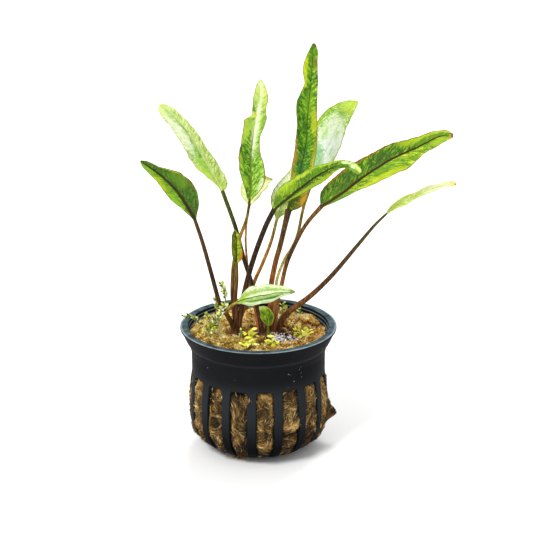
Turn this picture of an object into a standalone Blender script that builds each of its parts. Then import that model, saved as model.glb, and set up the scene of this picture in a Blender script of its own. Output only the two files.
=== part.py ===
"""A potted cryptocoryne: a small water plant in a slotted net pot packed with brown fibre wool.

The origin is the middle of the pot's underside, +Z is up, and the plant is seen from -Y.
Lengths are written in millimetres and turned into metres where an object is made.
"""
import math

import bmesh
import bpy
import numpy as np

MM = 0.001
CLEAR = 0.3

# The pot: a 55 mm net pot, wide at its lip, with ribs that bow out around the wool.
RIM_RADIUS = 27.5
POT_HEIGHT = 45.0
LIP_WIDTH = 2.8
LIP_THICK = 1.1
BODY_RADIUS = 23.5
STEP_HEIGHT = 36.9
RIB_BULGE_RADIUS = 24.4
WALL = 1.1
BASE_RADIUS = 13.0
BASE_THICK = 1.2
SLOT_TOP = 28.5
RIB_COUNT = 16
RIB_WIDTH = 2.7
FIRST_RIB_ANGLE = -5.5
DRAIN_COUNT = 8
DRAIN_WIDTH = 1.8
DRAIN_REACH = (4.5, 10.5)
TURN_STEPS = 3 * RIB_COUNT

# The wool: fills the pot to a little under its lip and pushes out between the ribs.
WOOL_TOP = 41.8
WOOL_DOME = 0.8
WOOL_TOP_LUMP = 0.2
WOOL_SIDE_LUMP = 0.25
WOOL_INSIDE_RADIUS = 22.0
WOOL_TUFT_ANGLE = FIRST_RIB_ANGLE + 101.25
WOOL_TUFT_HEIGHT = 12.5
WOOL_TUFT_REACH = 27.7
MOUND = (15.0, 9.0, 5.0, 1.1)

# The two crowns that the leaves grow from: middle, half width across, half width in depth.
CROWN_TOP = 43.1
CROWN_FOOT = 39.5
CROWN_LEFT = ((-7.7, -1.4), 3.5, 3.3)
CROWN_RIGHT = ((3.2, -1.6), 5.0, 4.3)

BLADE_THICK = 0.6
BLADE_FOLD = 0.16
STALK_CAP_GAP = 0.4
TAPER = 0.65


# Each leaf: a stalk route from its crown, a midrib route from stalk to tip, the half
# widths of the blade left and right of the midrib (as seen from -Y, at WIDTH_PLACES from
# base to tip), the direction that the face seen from -Y looks in, which face it is, and
# the stalk's radii at its foot and its top.
WIDTH_PLACES = (0.0, 0.07, 0.2, 0.38, 0.56, 0.74, 0.9, 1.0)
LEAVES = {
    "far_left": dict(
        stalk=[(-9.7, -1.0, 43.7), (-11.8, -2.5, 48.5), (-13.8, -4, 55.5), (-16.4, -6, 67), (-19, -8, 78)],
        rib=[(-21.5, -10, 87), (-25, -11.5, 94), (-28.5, -13, 99.5), (-33.5, -15, 105), (-39, -18, 110)],
        left=(0.5, 1.1, 2.7, 3.9, 3.2, 2.0, 1.3, 0.2), right=(0.5, 2.0, 4.7, 6.1, 5.0, 2.2, 1.1, 0.2),
        looks=(-0.2, -0.95, -0.1), side="under", radii=(0.85, 0.5)),
    "pale_left": dict(
        stalk=[(1.2, -2.6, 43.7), (-0.5, 0.5, 52), (-2.5, 3, 60), (-5, 5, 67.5), (-8, 7.5, 78.5)],
        rib=[(-12.5, 10, 91), (-14.5, 11, 94.5), (-19, 13, 102), (-23.5, 15, 109.5), (-30, 18, 116),
             (-34.5, 21, 119)],
        left=(0.5, 1.0, 3.3, 5.8, 5.2, 4.3, 2.9, 0.3), right=(0.8, 2.6, 3.3, 2.9, 2.7, 2.7, 2.1, 0.3),
        looks=(0.2, -0.85, 0.5), side="upper", radii=(0.8, 0.55)),
    "twisted": dict(
        stalk=[(-8.2, 0.7, 43.7), (-9, 1.5, 53.5), (-9, 2, 60.5), (-8.5, 3, 67), (-6.5, 4.5, 75.5),
               (-4, 5.5, 82.5)],
        rib=[(-3, 6.5, 89), (-2.5, 7, 94), (-2.5, 8, 104.5), (-1.5, 9, 113.5), (-0.5, 10, 119.5),
             (0.5, 11, 125.5), (0.5, 12, 130.5)],
        left=(0.6, 1.8, 3.5, 4.1, 3.5, 1.9, 1.8, 0.3), right=(0.5, 2.6, 4.7, 3.4, 3.1, 2.9, 2.0, 0.3),
        looks=(0.1, -0.95, 0.1), side="upper", radii=(0.85, 0.5)),
    "folded_back": dict(
        stalk=[(-0.2, -0.2, 43.7), (-1.4, 2.5, 51), (-3.2, 4.5, 57), (-4, 7.5, 66), (-4.5, 11, 73),
               (-4, 13.5, 80)],
        rib=[(-3, 15, 84.5), (-2.5, 18, 87.5), (-1, 23, 89), (1.5, 29, 89), (5, 34, 88)],
        left=(0.5, 2.1, 3.8, 4.3, 4.3, 3.8, 2.2, 0.3), right=(0.5, 2.1, 3.9, 4.5, 4.0, 2.9, 1.2, 0.2),
        looks=(-0.1, -0.5, 0.85), side="upper", radii=(0.8, 0.45)),
    "young_left": dict(
        stalk=[(-7.3, -3.3, 43.7), (-8, -4, 55.5), (-7.5, -4, 63)],
        rib=[(-7.5, -4.5, 69.5), (-7.5, -5, 74.5), (-7.5, -5.5, 78), (-8, -6, 82)],
        left=(0.4, 1.0, 1.3, 1.6, 1.6, 1.4, 1.0, 0.3), right=(0.5, 1.3, 2.0, 1.8, 1.6, 1.4, 0.8, 0.3),
        looks=(0.1, -0.95, 0.1), side="upper", radii=(0.85, 0.5)),
    "arching": dict(
        stalk=[(-5.8, -2.0, 43.7), (-5.5, -3, 54), (-3.5, -5, 64.5), (-1, -7.5, 74), (2.5, -10, 84.5)],
        rib=[(5.5, -12, 91.5), (8.5, -13, 94.5), (14.5, -16, 100.5), (21.5, -19, 106.5), (27, -22, 110),
             (31, -23.5, 110), (34, -24, 107.5)],
        left=(0.6, 2.6, 4.3, 4.1, 3.0, 1.9, 0.9, 0.3), right=(0.5, 1.1, 1.8, 3.1, 3.4, 2.2, 0.9, 0.3),
        looks=(0.2, -0.9, -0.2), side="under", radii=(0.9, 0.65)),
    "tall": dict(
        stalk=[(3.4, -0.8, 43.7), (4.5, 0, 54), (4.5, 1, 59.5), (6, 2, 67.5), (7.5, 2.5, 73), (9, 3, 79.5)],
        rib=[(10.5, 4, 86), (12.5, 4.5, 92), (14.5, 5, 100), (16.5, 6, 110), (17, 7, 120), (18, 8, 130),
             (18.5, 9, 138), (19, 10, 143.5)],
        left=(0.6, 1.3, 2.7, 3.3, 3.4, 2.9, 2.4, 0.3), right=(0.8, 3.9, 4.2, 3.7, 3.3, 2.3, 1.6, 0.3),
        looks=(0.05, -0.95, 0.1), side="upper", radii=(1.0, 0.75)),
    "broad_right": dict(
        stalk=[(3.6, 1.6, 43.7), (6, 4, 52.5), (6.5, 6, 59.5), (9, 8, 66), (12, 10, 70.5), (14, 12, 75),
               (15.8, 14, 83.5)],
        rib=[(18, 16, 90), (20.5, 18, 97), (24.5, 20.5, 104), (29, 24, 112), (35, 28, 118.5)],
        left=(0.5, 2.9, 4.8, 6.8, 7.2, 6.4, 4.0, 0.4), right=(0.5, 3.0, 4.8, 4.5, 3.9, 2.8, 1.4, 0.3),
        looks=(-0.25, -0.85, 0.45), side="upper", radii=(0.8, 0.5)),
    "pale_back": dict(
        stalk=[(-6.2, 0.3, 43.7), (-5.8, 2.0, 46), (-4, 5.5, 49.5), (-1.5, 9, 57.5), (1.5, 11, 64),
               (4.5, 13, 71.5)],
        rib=[(6.5, 15, 79), (8, 15.5, 84), (10, 16, 89.5), (12.5, 17, 95.5), (14, 18, 100.5)],
        left=(0.5, 1.4, 3.3, 4.3, 3.4, 2.0, 0.9, 0.2), right=(0.5, 1.3, 3.2, 4.0, 3.8, 3.0, 1.4, 0.2),
        looks=(0.0, -0.95, 0.25), side="under", radii=(0.8, 0.5)),
    "long_right": dict(
        stalk=[(5.3, -2.9, 43.7), (6.5, -4, 54), (8, -5.5, 61.5), (10, -7.5, 71), (14, -9.5, 81),
               (17, -10.5, 86.5)],
        rib=[(21.5, -12, 92.5), (28.5, -14, 98), (35.5, -16.5, 104.5), (44, -19, 111), (52, -21, 115.5),
             (59.5, -23, 120), (64, -24, 120.5)],
        left=(0.6, 4.2, 5.7, 5.3, 4.8, 3.5, 1.7, 0.3), right=(0.6, 1.7, 3.9, 6.7, 7.0, 4.4, 2.8, 0.3),
        looks=(0.2, -0.9, -0.15), side="under", radii=(0.9, 0.65)),
    "slender_right": dict(
        stalk=[(6.9, -0.4, 43.9), (8.8, -0.5, 47.8), (12, -1, 51.3), (18.2, -2, 56.5), (25.6, -3, 64.5),
               (33.6, -4, 75), (39.6, -5, 83)],
        rib=[(44, -6, 88), (47.5, -6.5, 91), (52.5, -7.5, 94), (58, -8.5, 97), (62.5, -9, 98.5),
             (67, -9.5, 99.5)],
        left=(0.4, 1.6, 2.0, 2.1, 1.9, 1.6, 1.3, 0.3), right=(0.4, 1.3, 2.4, 2.4, 2.0, 1.6, 1.2, 0.3),
        looks=(-0.3, -0.25, 0.95), side="upper", radii=(1.2, 0.35)),
    "low_front": dict(
        stalk=[(-8.9, -3.3, 43.7), (-10.6, -7.5, 48.2), (-11.2, -11, 53.2), (-9.4, -13, 56.7)],
        rib=[(-7.2, -14, 58.6), (-4, -15.5, 60.3), (1.5, -17.5, 62.3), (7, -19.5, 63.9), (12.5, -22, 65.2)],
        left=(0.4, 0.9, 2.4, 3.4, 3.3, 2.6, 1.3, 0.2), right=(0.4, 1.0, 2.3, 3.4, 3.6, 2.9, 1.3, 0.2),
        looks=(-0.1, -0.65, 0.75), side="upper", radii=(0.65, 0.4)),
    "young_front": dict(
        stalk=[(3.4, -4.7, 43.7), (3.5, -4.9, 45.2)],
        rib=[(3.5, -5.2, 47), (3.5, -6, 49.5), (2.5, -7, 52.5), (0.5, -8.5, 54.5)],
        left=(0.4, 1.1, 1.9, 2.5, 2.4, 2.2, 1.2, 0.2), right=(0.4, 1.2, 1.6, 1.8, 1.6, 1.3, 0.9, 0.2),
        looks=(0.1, -0.9, 0.4), side="upper", radii=(0.5, 0.4)),
}
SMALL_LEAVES = ("young_left", "young_front", "low_front", "slender_right", "folded_back")

# Weeds that came up in the wool. A sprig is a route with its radii at foot and tip.
SPRIGS = {
    "tall": ([(-18.4, -3.2), (-16.1, -5.5, 46.2), (-14.2, -6.5, 49.3), (-12.4, -6.5, 53.1),
              (-11.4, -6.5, 56.7), (-12.6, -6.5, 62.8)], (1.3, 0.6)),
    "side": ([(-14.6, 1.5), (-13.8, 0.8, 48.6), (-14.6, 0.5, 52.4), (-15.4, 0.5, 54.8)], (1.0, 0.5)),
    "hanging": ([(-17.0, 4.6), (-17.4, 4.3, 45.4), (-18.7, 4.0, 47.6)], (0.8, 0.5)),
    "rim": ([(-20.4, 4.0), (-22.4, 3.6, 46.2), (-24.6, 3.2, 46.9), (-26.6, 3.0, 46.9)], (0.8, 0.5)),
    "back": ([(7.8, 9.0), (8.4, 9.6, 46.0), (8.6, 10.0, 49.4)], (1.1, 0.6)),
    "far_back": ([(14.6, 11.8), (14.8, 12.0, 44.8), (14.8, 12.0, 46.4)], (0.7, 0.4)),
}
SPRIG_STEPS = 5
SPRIG_FOOT_RAISE = 0.8
# A seedling patch is a low tuft: its place, how far its leaves spread, and their height.
SEEDLINGS = {
    "front_left": ((-2.8, -15.0), 2.6, 2.6),
    "front_middle": ((-3.0, -6.4), 1.7, 2.4),
    "front_right": ((4.8, -13.6), 1.7, 3.0),
    "right": ((15.8, -5.0), 3.2, 3.2),
}


def clear_scene():
    for item in list(bpy.data.objects):
        bpy.data.objects.remove(item, do_unlink=True)


def make_collection(name):
    collection = bpy.data.collections.new(name)
    bpy.context.scene.collection.children.link(collection)
    return collection


def material(name, colour, roughness):
    made = bpy.data.materials.new(name)
    made.use_nodes = True
    shader = made.node_tree.nodes["Principled BSDF"]
    shader.inputs["Base Color"].default_value = (*colour, 1.0)
    shader.inputs["Roughness"].default_value = roughness
    shader.inputs["Metallic"].default_value = 0.0
    made.diffuse_color = (*colour, 1.0)
    return made


def add_mesh(name, vertices, faces, collection, finish=None):
    """Makes an object from points in millimetres and the faces between them."""
    mesh = bpy.data.meshes.new(name)
    mesh.from_pydata((np.asarray(vertices, float) * MM).tolist(), [], faces)
    item = bpy.data.objects.new(name, mesh)
    collection.objects.link(item)
    if finish:
        mesh.materials.append(finish)
    return item


def hide_cutter(item):
    item.hide_render = True
    item.display_type = "WIRE"
    return item


def join_cutters(name, items, collection):
    """Puts separate closed cutters into one object, which a single Boolean then subtracts."""
    joined = bmesh.new()
    for item in items:
        joined.from_mesh(item.data)
        bpy.data.objects.remove(item, do_unlink=True)
    mesh = bpy.data.meshes.new(name)
    joined.to_mesh(mesh)
    joined.free()
    item = bpy.data.objects.new(name, mesh)
    collection.objects.link(item)
    return hide_cutter(item)


def boolean(item, other, operation="DIFFERENCE"):
    change = item.modifiers.new(operation.title() + " " + other.name, "BOOLEAN")
    change.operation = operation
    change.solver = "EXACT"
    change.object = other


def smooth_path(points, count=0, trim=0.0, places=None):
    """Steps along a Catmull-Rom curve through the points: count even ones less trim, or at places."""
    knots = np.array(points, float)
    knots = np.vstack([2 * knots[0] - knots[1], knots, 2 * knots[-1] - knots[-2]])
    t = np.linspace(0, 1, 16, endpoint=False)[:, None]
    runs = []
    for a, b, c, d in zip(knots[:-3], knots[1:-2], knots[2:-1], knots[3:]):
        runs.append(0.5 * (2 * b + (c - a) * t + (2 * a - 5 * b + 4 * c - d) * t**2
                           + (3 * b - a - 3 * c + d) * t**3))
    fine = np.vstack([*runs, knots[-2:-1]])
    length = np.concatenate([[0.0], np.cumsum(np.linalg.norm(np.diff(fine, axis=0), axis=1))])
    if places is None:
        wanted = np.linspace(0.0, length[-1] - trim, count)
    else:
        wanted = np.asarray(places) * length[-1]
    return np.column_stack([np.interp(wanted, length, fine[:, axis]) for axis in range(3)])


def prism_on_plan(name, outline, low, high, collection):
    """A closed upright prism over an outline of x, y points that runs anticlockwise."""
    count = len(outline)
    vertices = [(x, y, z) for z in (low, high) for x, y in outline]
    sides = [(i, (i + 1) % count, count + (i + 1) % count, count + i) for i in range(count)]
    faces = [tuple(range(count - 1, -1, -1)), tuple(range(count, 2 * count)), *sides]
    return add_mesh(name, vertices, faces, collection)


def prism_across_radius(name, outline, half_width, angle, collection):
    """A slab that stands on the radius at an angle from the front; its outline is radius, height."""
    count = len(outline)
    turn = math.radians(angle)
    out = np.array([math.sin(turn), -math.cos(turn)])
    side = np.array([math.cos(turn), math.sin(turn)])
    vertices = []
    for offset in (-half_width, half_width):
        for radius, height in outline:
            vertices.append((*(out * radius + side * offset), height))
    sides = [(i, (i + 1) % count, count + (i + 1) % count, count + i) for i in range(count)]
    faces = [tuple(range(count - 1, -1, -1)), tuple(range(count, 2 * count)), *sides]
    item = add_mesh(name, vertices, faces, collection)
    outward(item)
    return item


def outward(item):
    """Turns all faces of a closed mesh to point out."""
    work = bmesh.new()
    work.from_mesh(item.data)
    bmesh.ops.recalc_face_normals(work, faces=work.faces)
    work.to_mesh(item.data)
    work.free()


def rib_angles():
    return [FIRST_RIB_ANGLE + k * 360.0 / RIB_COUNT for k in range(RIB_COUNT)]


def pot_profile():
    """The pot's section as radius, height: down its outer side, then up its inner side."""
    lip_inner = RIM_RADIUS - LIP_WIDTH
    outer = [
        (RIM_RADIUS, POT_HEIGHT - 0.2),
        (RIM_RADIUS, POT_HEIGHT - LIP_THICK),
        (RIM_RADIUS - 0.9, POT_HEIGHT - LIP_THICK - 0.3),
        (RIM_RADIUS - 1.9, POT_HEIGHT - 4.4),
        (BODY_RADIUS + 0.9, STEP_HEIGHT + 1.5),
        (BODY_RADIUS + 0.4, STEP_HEIGHT),
        (BODY_RADIUS, STEP_HEIGHT - 0.3),
        (BODY_RADIUS, SLOT_TOP),
        (RIB_BULGE_RADIUS, 20.5),
        (RIB_BULGE_RADIUS, 14.5),
        (RIB_BULGE_RADIUS - 0.5, 9.5),
        (22.6, 5.6),
        (20.2, 2.7),
        (17.0, 0.9),
        (BASE_RADIUS, 0.0),
        (0.0, 0.0),
    ]
    inner = [
        (0.0, BASE_THICK),
        (BASE_RADIUS - 0.2, BASE_THICK),
        (16.5, 2.0),
        (19.4, 3.9),
        (21.6, 7.0),
        (RIB_BULGE_RADIUS - WALL - 0.1, 13.0),
        (RIB_BULGE_RADIUS - WALL, 19.5),
        (BODY_RADIUS - WALL, SLOT_TOP),
        (BODY_RADIUS - WALL, STEP_HEIGHT),
        (BODY_RADIUS - 0.1, STEP_HEIGHT + 2.6),
        (lip_inner, POT_HEIGHT - 2.2),
        (lip_inner, POT_HEIGHT - 0.2),
        (lip_inner + 0.2, POT_HEIGHT),
        (RIM_RADIUS - 0.2, POT_HEIGHT),
    ]
    return outer + inner


def turned(name, profile, steps, first_angle, collection, finish):
    """A closed section turned about the Z axis with a Screw modifier; no edge lies on the axis."""
    turn = math.radians(first_angle - 90.0)
    vertices = [(r * math.cos(turn), r * math.sin(turn), z) for r, z in profile]
    mesh = bpy.data.meshes.new(name)
    joins = [(i, (i + 1) % len(profile)) for i in range(len(profile))]
    edges = [(a, b) for a, b in joins if profile[a][0] > 0 or profile[b][0] > 0]
    mesh.from_pydata((np.array(vertices) * MM).tolist(), edges, [])
    mesh.materials.append(finish)
    item = bpy.data.objects.new(name, mesh)
    collection.objects.link(item)
    screw = item.modifiers.new("Turn", "SCREW")
    screw.axis = "Z"
    screw.steps = steps
    screw.render_steps = steps
    screw.use_merge_vertices = True
    screw.merge_threshold = 0.00001
    return item


def slot_cutters(collection):
    """One prism for each gap between ribs, with sides that leave every rib the same width."""
    pitch = math.radians(360.0 / RIB_COUNT)
    meeting = (RIB_WIDTH / 2) / math.sin(pitch / 2)
    items = []
    for index, angle in enumerate(rib_angles()):
        middle = math.radians(angle) + pitch / 2
        out = np.array([math.sin(middle), -math.cos(middle)])
        side = np.array([math.cos(middle), math.sin(middle)])
        outline = []
        for radius in (BASE_RADIUS, RIM_RADIUS + 4.0):
            half = (radius - meeting) * math.tan(pitch / 2)
            outline.append((out * radius, half))
        inner, outer = outline
        plan = [inner[0] + side * inner[1], inner[0] - side * inner[1],
                outer[0] - side * outer[1], outer[0] + side * outer[1]]
        item = prism_on_plan(f"slot {index}", [tuple(p) for p in plan], -1.0, SLOT_TOP, collection)
        outward(item)
        items.append(item)
    return items


def drain_cutters(collection):
    """Radial slits through the base, clear of its middle."""
    items = []
    low, high = DRAIN_REACH
    half = DRAIN_WIDTH / 2
    outline = [(low, -1.0), (high, -1.0), (high, BASE_THICK + 0.5), (low, BASE_THICK + 0.5)]
    for index in range(DRAIN_COUNT):
        angle = index * 360.0 / DRAIN_COUNT
        items.append(prism_across_radius(f"drain {index}", outline, half, angle, collection))
    return items


def build_pot(parts, cutters):
    finish = material("black plastic", (0.012, 0.013, 0.016), 0.45)
    facet = 360.0 / TURN_STEPS
    pot = turned("net_pot", pot_profile(), TURN_STEPS, FIRST_RIB_ANGLE + facet / 2, parts, finish)
    holes = slot_cutters(cutters) + drain_cutters(cutters)
    boolean(pot, join_cutters("pot openings", holes, cutters))
    return pot


def wool_height(x, y):
    """How high the wool stands at a place: a low dome with a mound at its back right."""
    x, y = np.asarray(x, float), np.asarray(y, float)
    dome = WOOL_DOME * (1 - (x**2 + y**2) / WOOL_INSIDE_RADIUS**2)
    mx, my, spread, rise = MOUND
    mound = rise * np.exp(-((x - mx)**2 + (y - my)**2) / spread**2)
    lumps = WOOL_TOP_LUMP * np.sin(0.7 * x + 0.4) * np.cos(0.6 * y - 0.9)
    return WOOL_TOP + dome + mound + lumps


def wool_rings():
    """Rings of the wool's surface from its top to its underside, as radius and height."""
    inside = WOOL_INSIDE_RADIUS
    top = [(6.5, None), (12.5, None), (18.0, None), (inside, None)]
    side = [(inside, SLOT_TOP - CLEAR), (23.2, SLOT_TOP - CLEAR)]
    pads = [(23.8, 26.6), (24.5, 22.5), (24.8, 17.0), (24.6, 11.5), (23.4, 6.8), (21.0, 3.6), (17.6, 1.6)]
    foot = [(BASE_RADIUS + 0.9, 0.9), (BASE_RADIUS + 0.4, BASE_THICK + CLEAR)]
    return top + side + pads + foot


def build_wool(parts, cutters):
    """One lumpy lofted body, cleared around every rib, with one tuft hanging out on the right."""
    finish = material("brown fibre wool", (0.16, 0.085, 0.025), 0.95)
    facet = 2 * math.pi / TURN_STEPS
    turn = math.radians(FIRST_RIB_ANGLE) + facet * np.arange(TURN_STEPS)
    rings = []
    for radius, height in wool_rings():
        reach = np.full(TURN_STEPS, radius)
        if height is not None and 1.0 < height < SLOT_TOP - 1.0:
            reach += WOOL_SIDE_LUMP * np.sin(5 * turn + 0.35 * height) * np.cos(0.31 * height + 2 * turn)
        x, y = reach * np.sin(turn), -reach * np.cos(turn)
        z = wool_height(x, y) if height is None else np.full(TURN_STEPS, height)
        rings.append(np.column_stack([x, y, z]))
    vertices = np.vstack([*rings, [(0, 0, float(wool_height(0, 0)))], [(0, 0, BASE_THICK + CLEAR)]])
    faces = []
    n = TURN_STEPS
    for ring in range(len(rings) - 1):
        for i in range(n):
            j = (i + 1) % n
            faces.append((ring * n + i, (ring + 1) * n + i, (ring + 1) * n + j, ring * n + j))
    top_pole, foot_pole, last = len(vertices) - 2, len(vertices) - 1, (len(rings) - 1) * n
    for i in range(n):
        j = (i + 1) % n
        faces.append((top_pole, i, j))
        faces.append((foot_pole, last + j, last + i))
    wool = add_mesh("growing_wool", vertices, faces, parts, finish)
    outward(wool)
    boolean(wool, wool_tuft(cutters), "UNION")
    ribs = []
    hollow = [(12.6, BASE_THICK + CLEAR), (16.3, 2.3), (19.1, 4.2), (21.3, 7.2), (22.8, 13.0), (23.0, 19.5),
              (22.1, SLOT_TOP), (22.1, SLOT_TOP + 1.0), (32.0, SLOT_TOP + 1.0), (32.0, -2.0), (12.6, -2.0)]
    for index, angle in enumerate(rib_angles()):
        half = RIB_WIDTH / 2 + CLEAR
        ribs.append(prism_across_radius(f"rib room {index}", hollow, half, angle, cutters))
    rooms = [crown_block(f"crown room {i}", crown, CLEAR, cutters)
             for i, crown in enumerate((CROWN_LEFT, CROWN_RIGHT))]
    boolean(wool, join_cutters("wool clearances", ribs + rooms, cutters))
    return wool


def wool_tuft(collection):
    """A blunt cone of wool that leans out of one slot."""
    turn = math.radians(WOOL_TUFT_ANGLE)
    out = np.array([math.sin(turn), -math.cos(turn), 0.0])
    side = np.array([math.cos(turn), math.sin(turn), 0.0])
    up = np.array([0.0, 0.0, 1.0])
    vertices = []
    for reach, half_wide, half_high in ((22.5, 2.5, 5.2), (25.0, 2.3, 4.2), (WOOL_TUFT_REACH, 0.7, 0.9)):
        for step in range(8):
            a = step * math.pi / 4
            vertices.append(out * reach + side * (half_wide * math.cos(a))
                            + up * (WOOL_TUFT_HEIGHT + half_high * math.sin(a)))
    faces = [tuple(range(8)), tuple(range(23, 15, -1))]
    for ring in (0, 8):
        for i in range(8):
            j = (i + 1) % 8
            faces.append((ring + i, ring + j, ring + 8 + j, ring + 8 + i))
    item = add_mesh("wool tuft", vertices, faces, collection)
    outward(item)
    return hide_cutter(item)


def crown_block(name, crown, grow, collection, finish=None):
    """A short tapered stub, oval on plan; grow makes the room that the wool leaves for it."""
    (x, y), across, deep = crown
    work = bmesh.new()
    low, high = CROWN_FOOT - grow, CROWN_TOP + (2.0 if grow else 0.0)
    bmesh.ops.create_cone(work, cap_ends=True, segments=12, radius1=1.0, radius2=0.92, depth=high - low)
    for vertex in work.verts:
        vertex.co.x = (x + vertex.co.x * (across + grow)) * MM
        vertex.co.y = (y + vertex.co.y * (deep + grow)) * MM
        vertex.co.z = (vertex.co.z + (low + high) / 2) * MM
    mesh = bpy.data.meshes.new(name)
    work.to_mesh(mesh)
    work.free()
    if finish:
        mesh.materials.append(finish)
    item = bpy.data.objects.new(name, mesh)
    collection.objects.link(item)
    return item


def build_crowns(parts):
    finish = material("brown crown", (0.10, 0.045, 0.02), 0.8)
    crown_block("crown_left", CROWN_LEFT, 0.0, parts, finish)
    crown_block("crown_right", CROWN_RIGHT, 0.0, parts, finish)


def tube(name, route, radii, sides, parts, finish):
    """A tapering round stem along a route: a bevelled curve with closed ends."""
    curve = bpy.data.curves.new(name, "CURVE")
    curve.dimensions = "3D"
    curve.bevel_depth = MM
    curve.bevel_resolution = sides
    curve.use_fill_caps = True
    spline = curve.splines.new("POLY")
    spline.points.add(len(route) - 1)
    for index, point in enumerate(route):
        along = index / (len(route) - 1)
        spline.points[index].co = (*(np.asarray(point) * MM), 1.0)
        spline.points[index].radius = radii[0] + (radii[1] - radii[0]) * along**TAPER
    curve.materials.append(finish)
    item = bpy.data.objects.new(name, curve)
    parts.objects.link(item)
    return item


def station_places(stations):
    """Places from base to tip, 0 to 1, closer together at both ends where a blade is round."""
    even = np.linspace(0, 1, stations)
    return even - 0.06 * np.sin(2 * math.pi * even)


def blade(name, leaf, stations, halves, parts, finish):
    """A leaf blade: half widths set off both sides of the midrib, folded up a little along it."""
    route = smooth_path(leaf["rib"], places=station_places(stations))
    along = np.gradient(route, axis=0)
    along /= np.linalg.norm(along, axis=1)[:, None]
    looks = np.array(leaf["looks"], float)
    face = looks - (along @ looks)[:, None] * along
    face /= np.linalg.norm(face, axis=1)[:, None]
    right = np.cross(along, face)
    upper = face if leaf["side"] == "upper" else -face
    u = station_places(stations)
    widths = {-1: np.interp(u, WIDTH_PLACES, leaf["left"]), 1: np.interp(u, WIDTH_PLACES, leaf["right"])}
    across = np.linspace(-1, 1, 2 * halves + 1)
    vertices = []
    for v in across:
        wide = widths[-1 if v < 0 else 1] * abs(v)
        lift = BLADE_FOLD * wide
        vertices.append(route + right * (np.sign(v) * wide)[:, None] + upper * lift[:, None])
    grid = np.stack(vertices, axis=1).reshape(-1, 3)
    columns = len(across)
    faces = []
    for i in range(stations - 1):
        for j in range(columns - 1):
            a = i * columns + j
            faces.append((a, a + 1, a + columns + 1, a + columns))
    item = add_mesh(name, grid, faces, parts, finish)
    shell = item.modifiers.new("Thickness", "SOLIDIFY")
    shell.thickness = BLADE_THICK * MM
    shell.offset = 0.0
    return item


def build_leaves(parts):
    green = material("leaf green", (0.16, 0.33, 0.04), 0.45)
    brown = material("leaf stalk brown", (0.13, 0.06, 0.03), 0.5)
    for name, leaf in LEAVES.items():
        small = name in SMALL_LEAVES
        blade("leaf_" + name, leaf, 7 if small else 10, 1 if small else 2, parts, green)
        route = smooth_path(leaf["stalk"] + leaf["rib"][:1], 5 if small else 9, trim=STALK_CAP_GAP)
        tube("stalk_" + name, route, leaf["radii"], 1, parts, brown)


def build_weeds(parts):
    moss = material("pale weed green", (0.42, 0.50, 0.16), 0.7)
    sprout = material("seedling green", (0.55, 0.70, 0.10), 0.6)
    for name, (route, radii) in SPRIGS.items():
        foot_x, foot_y = route[0]
        above = CLEAR + SPRIG_FOOT_RAISE * radii[0]
        foot = (foot_x, foot_y, float(wool_height(foot_x, foot_y)) + above)
        tube("weed_sprig_" + name, smooth_path([foot, *route[1:]], SPRIG_STEPS), radii, 0, parts, moss)
    for name, ((x, y), spread, rise) in SEEDLINGS.items():
        work = bmesh.new()
        bmesh.ops.create_cone(work, cap_ends=True, segments=7, radius1=spread * 0.45, radius2=spread,
                              depth=rise)
        foot = float(wool_height(x, y)) + CLEAR + 0.2
        for vertex in work.verts:
            vertex.co.x = (x + vertex.co.x) * MM
            vertex.co.y = (y + vertex.co.y) * MM
            vertex.co.z = (vertex.co.z + foot + rise / 2) * MM
        mesh = bpy.data.meshes.new("weed_seedlings_" + name)
        work.to_mesh(mesh)
        work.free()
        mesh.materials.append(sprout)
        parts.objects.link(bpy.data.objects.new("weed_seedlings_" + name, mesh))


def main():
    clear_scene()
    parts = make_collection("potted cryptocoryne")
    cutters = make_collection("cutters")
    build_pot(parts, cutters)
    build_wool(parts, cutters)
    build_crowns(parts)
    build_leaves(parts)
    build_weeds(parts)


main()
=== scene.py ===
# %% [markdown]
# # A potted cryptocoryne
# This lesson dresses a measured model of a small water plant in its net pot. The solids of the
# model come first and stay where they are. Around them we make the surfaces that are seen:
# thirteen leaves on thin stalks, a slotted black pot, a plug of brown fibre wool, and the
# weeds that came up in it. Nearly every surface here is a formula on a grid of two numbers,
# worked out with whole numpy arrays, so a shape can be changed by changing one value.

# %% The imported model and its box
import math

import bpy
import numpy as np
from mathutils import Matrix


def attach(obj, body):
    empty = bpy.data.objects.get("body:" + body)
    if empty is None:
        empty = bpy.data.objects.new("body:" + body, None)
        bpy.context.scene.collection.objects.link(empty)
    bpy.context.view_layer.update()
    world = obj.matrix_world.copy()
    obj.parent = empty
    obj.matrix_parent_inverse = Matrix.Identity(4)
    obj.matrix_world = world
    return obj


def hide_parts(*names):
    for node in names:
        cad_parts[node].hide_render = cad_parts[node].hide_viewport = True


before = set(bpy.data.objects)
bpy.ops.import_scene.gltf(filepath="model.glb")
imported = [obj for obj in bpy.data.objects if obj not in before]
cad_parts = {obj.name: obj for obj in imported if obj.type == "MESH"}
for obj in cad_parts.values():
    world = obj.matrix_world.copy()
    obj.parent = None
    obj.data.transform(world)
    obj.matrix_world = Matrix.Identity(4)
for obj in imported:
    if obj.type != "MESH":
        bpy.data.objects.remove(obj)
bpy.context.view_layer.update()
MM = 0.001

# %% [markdown]
# ## Camera, floor and light
# The plant was photographed from a little above with a long lens, so its rim is a flat oval
# and its sides hardly lean. A 135 mm lens about 0.7 m away gives that. The floor is plain and
# nearly white. A bright even sky fills the shadows, one soft lamp from the upper left models
# the forms, and one from behind lights the leaves' faces that look up.

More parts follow.
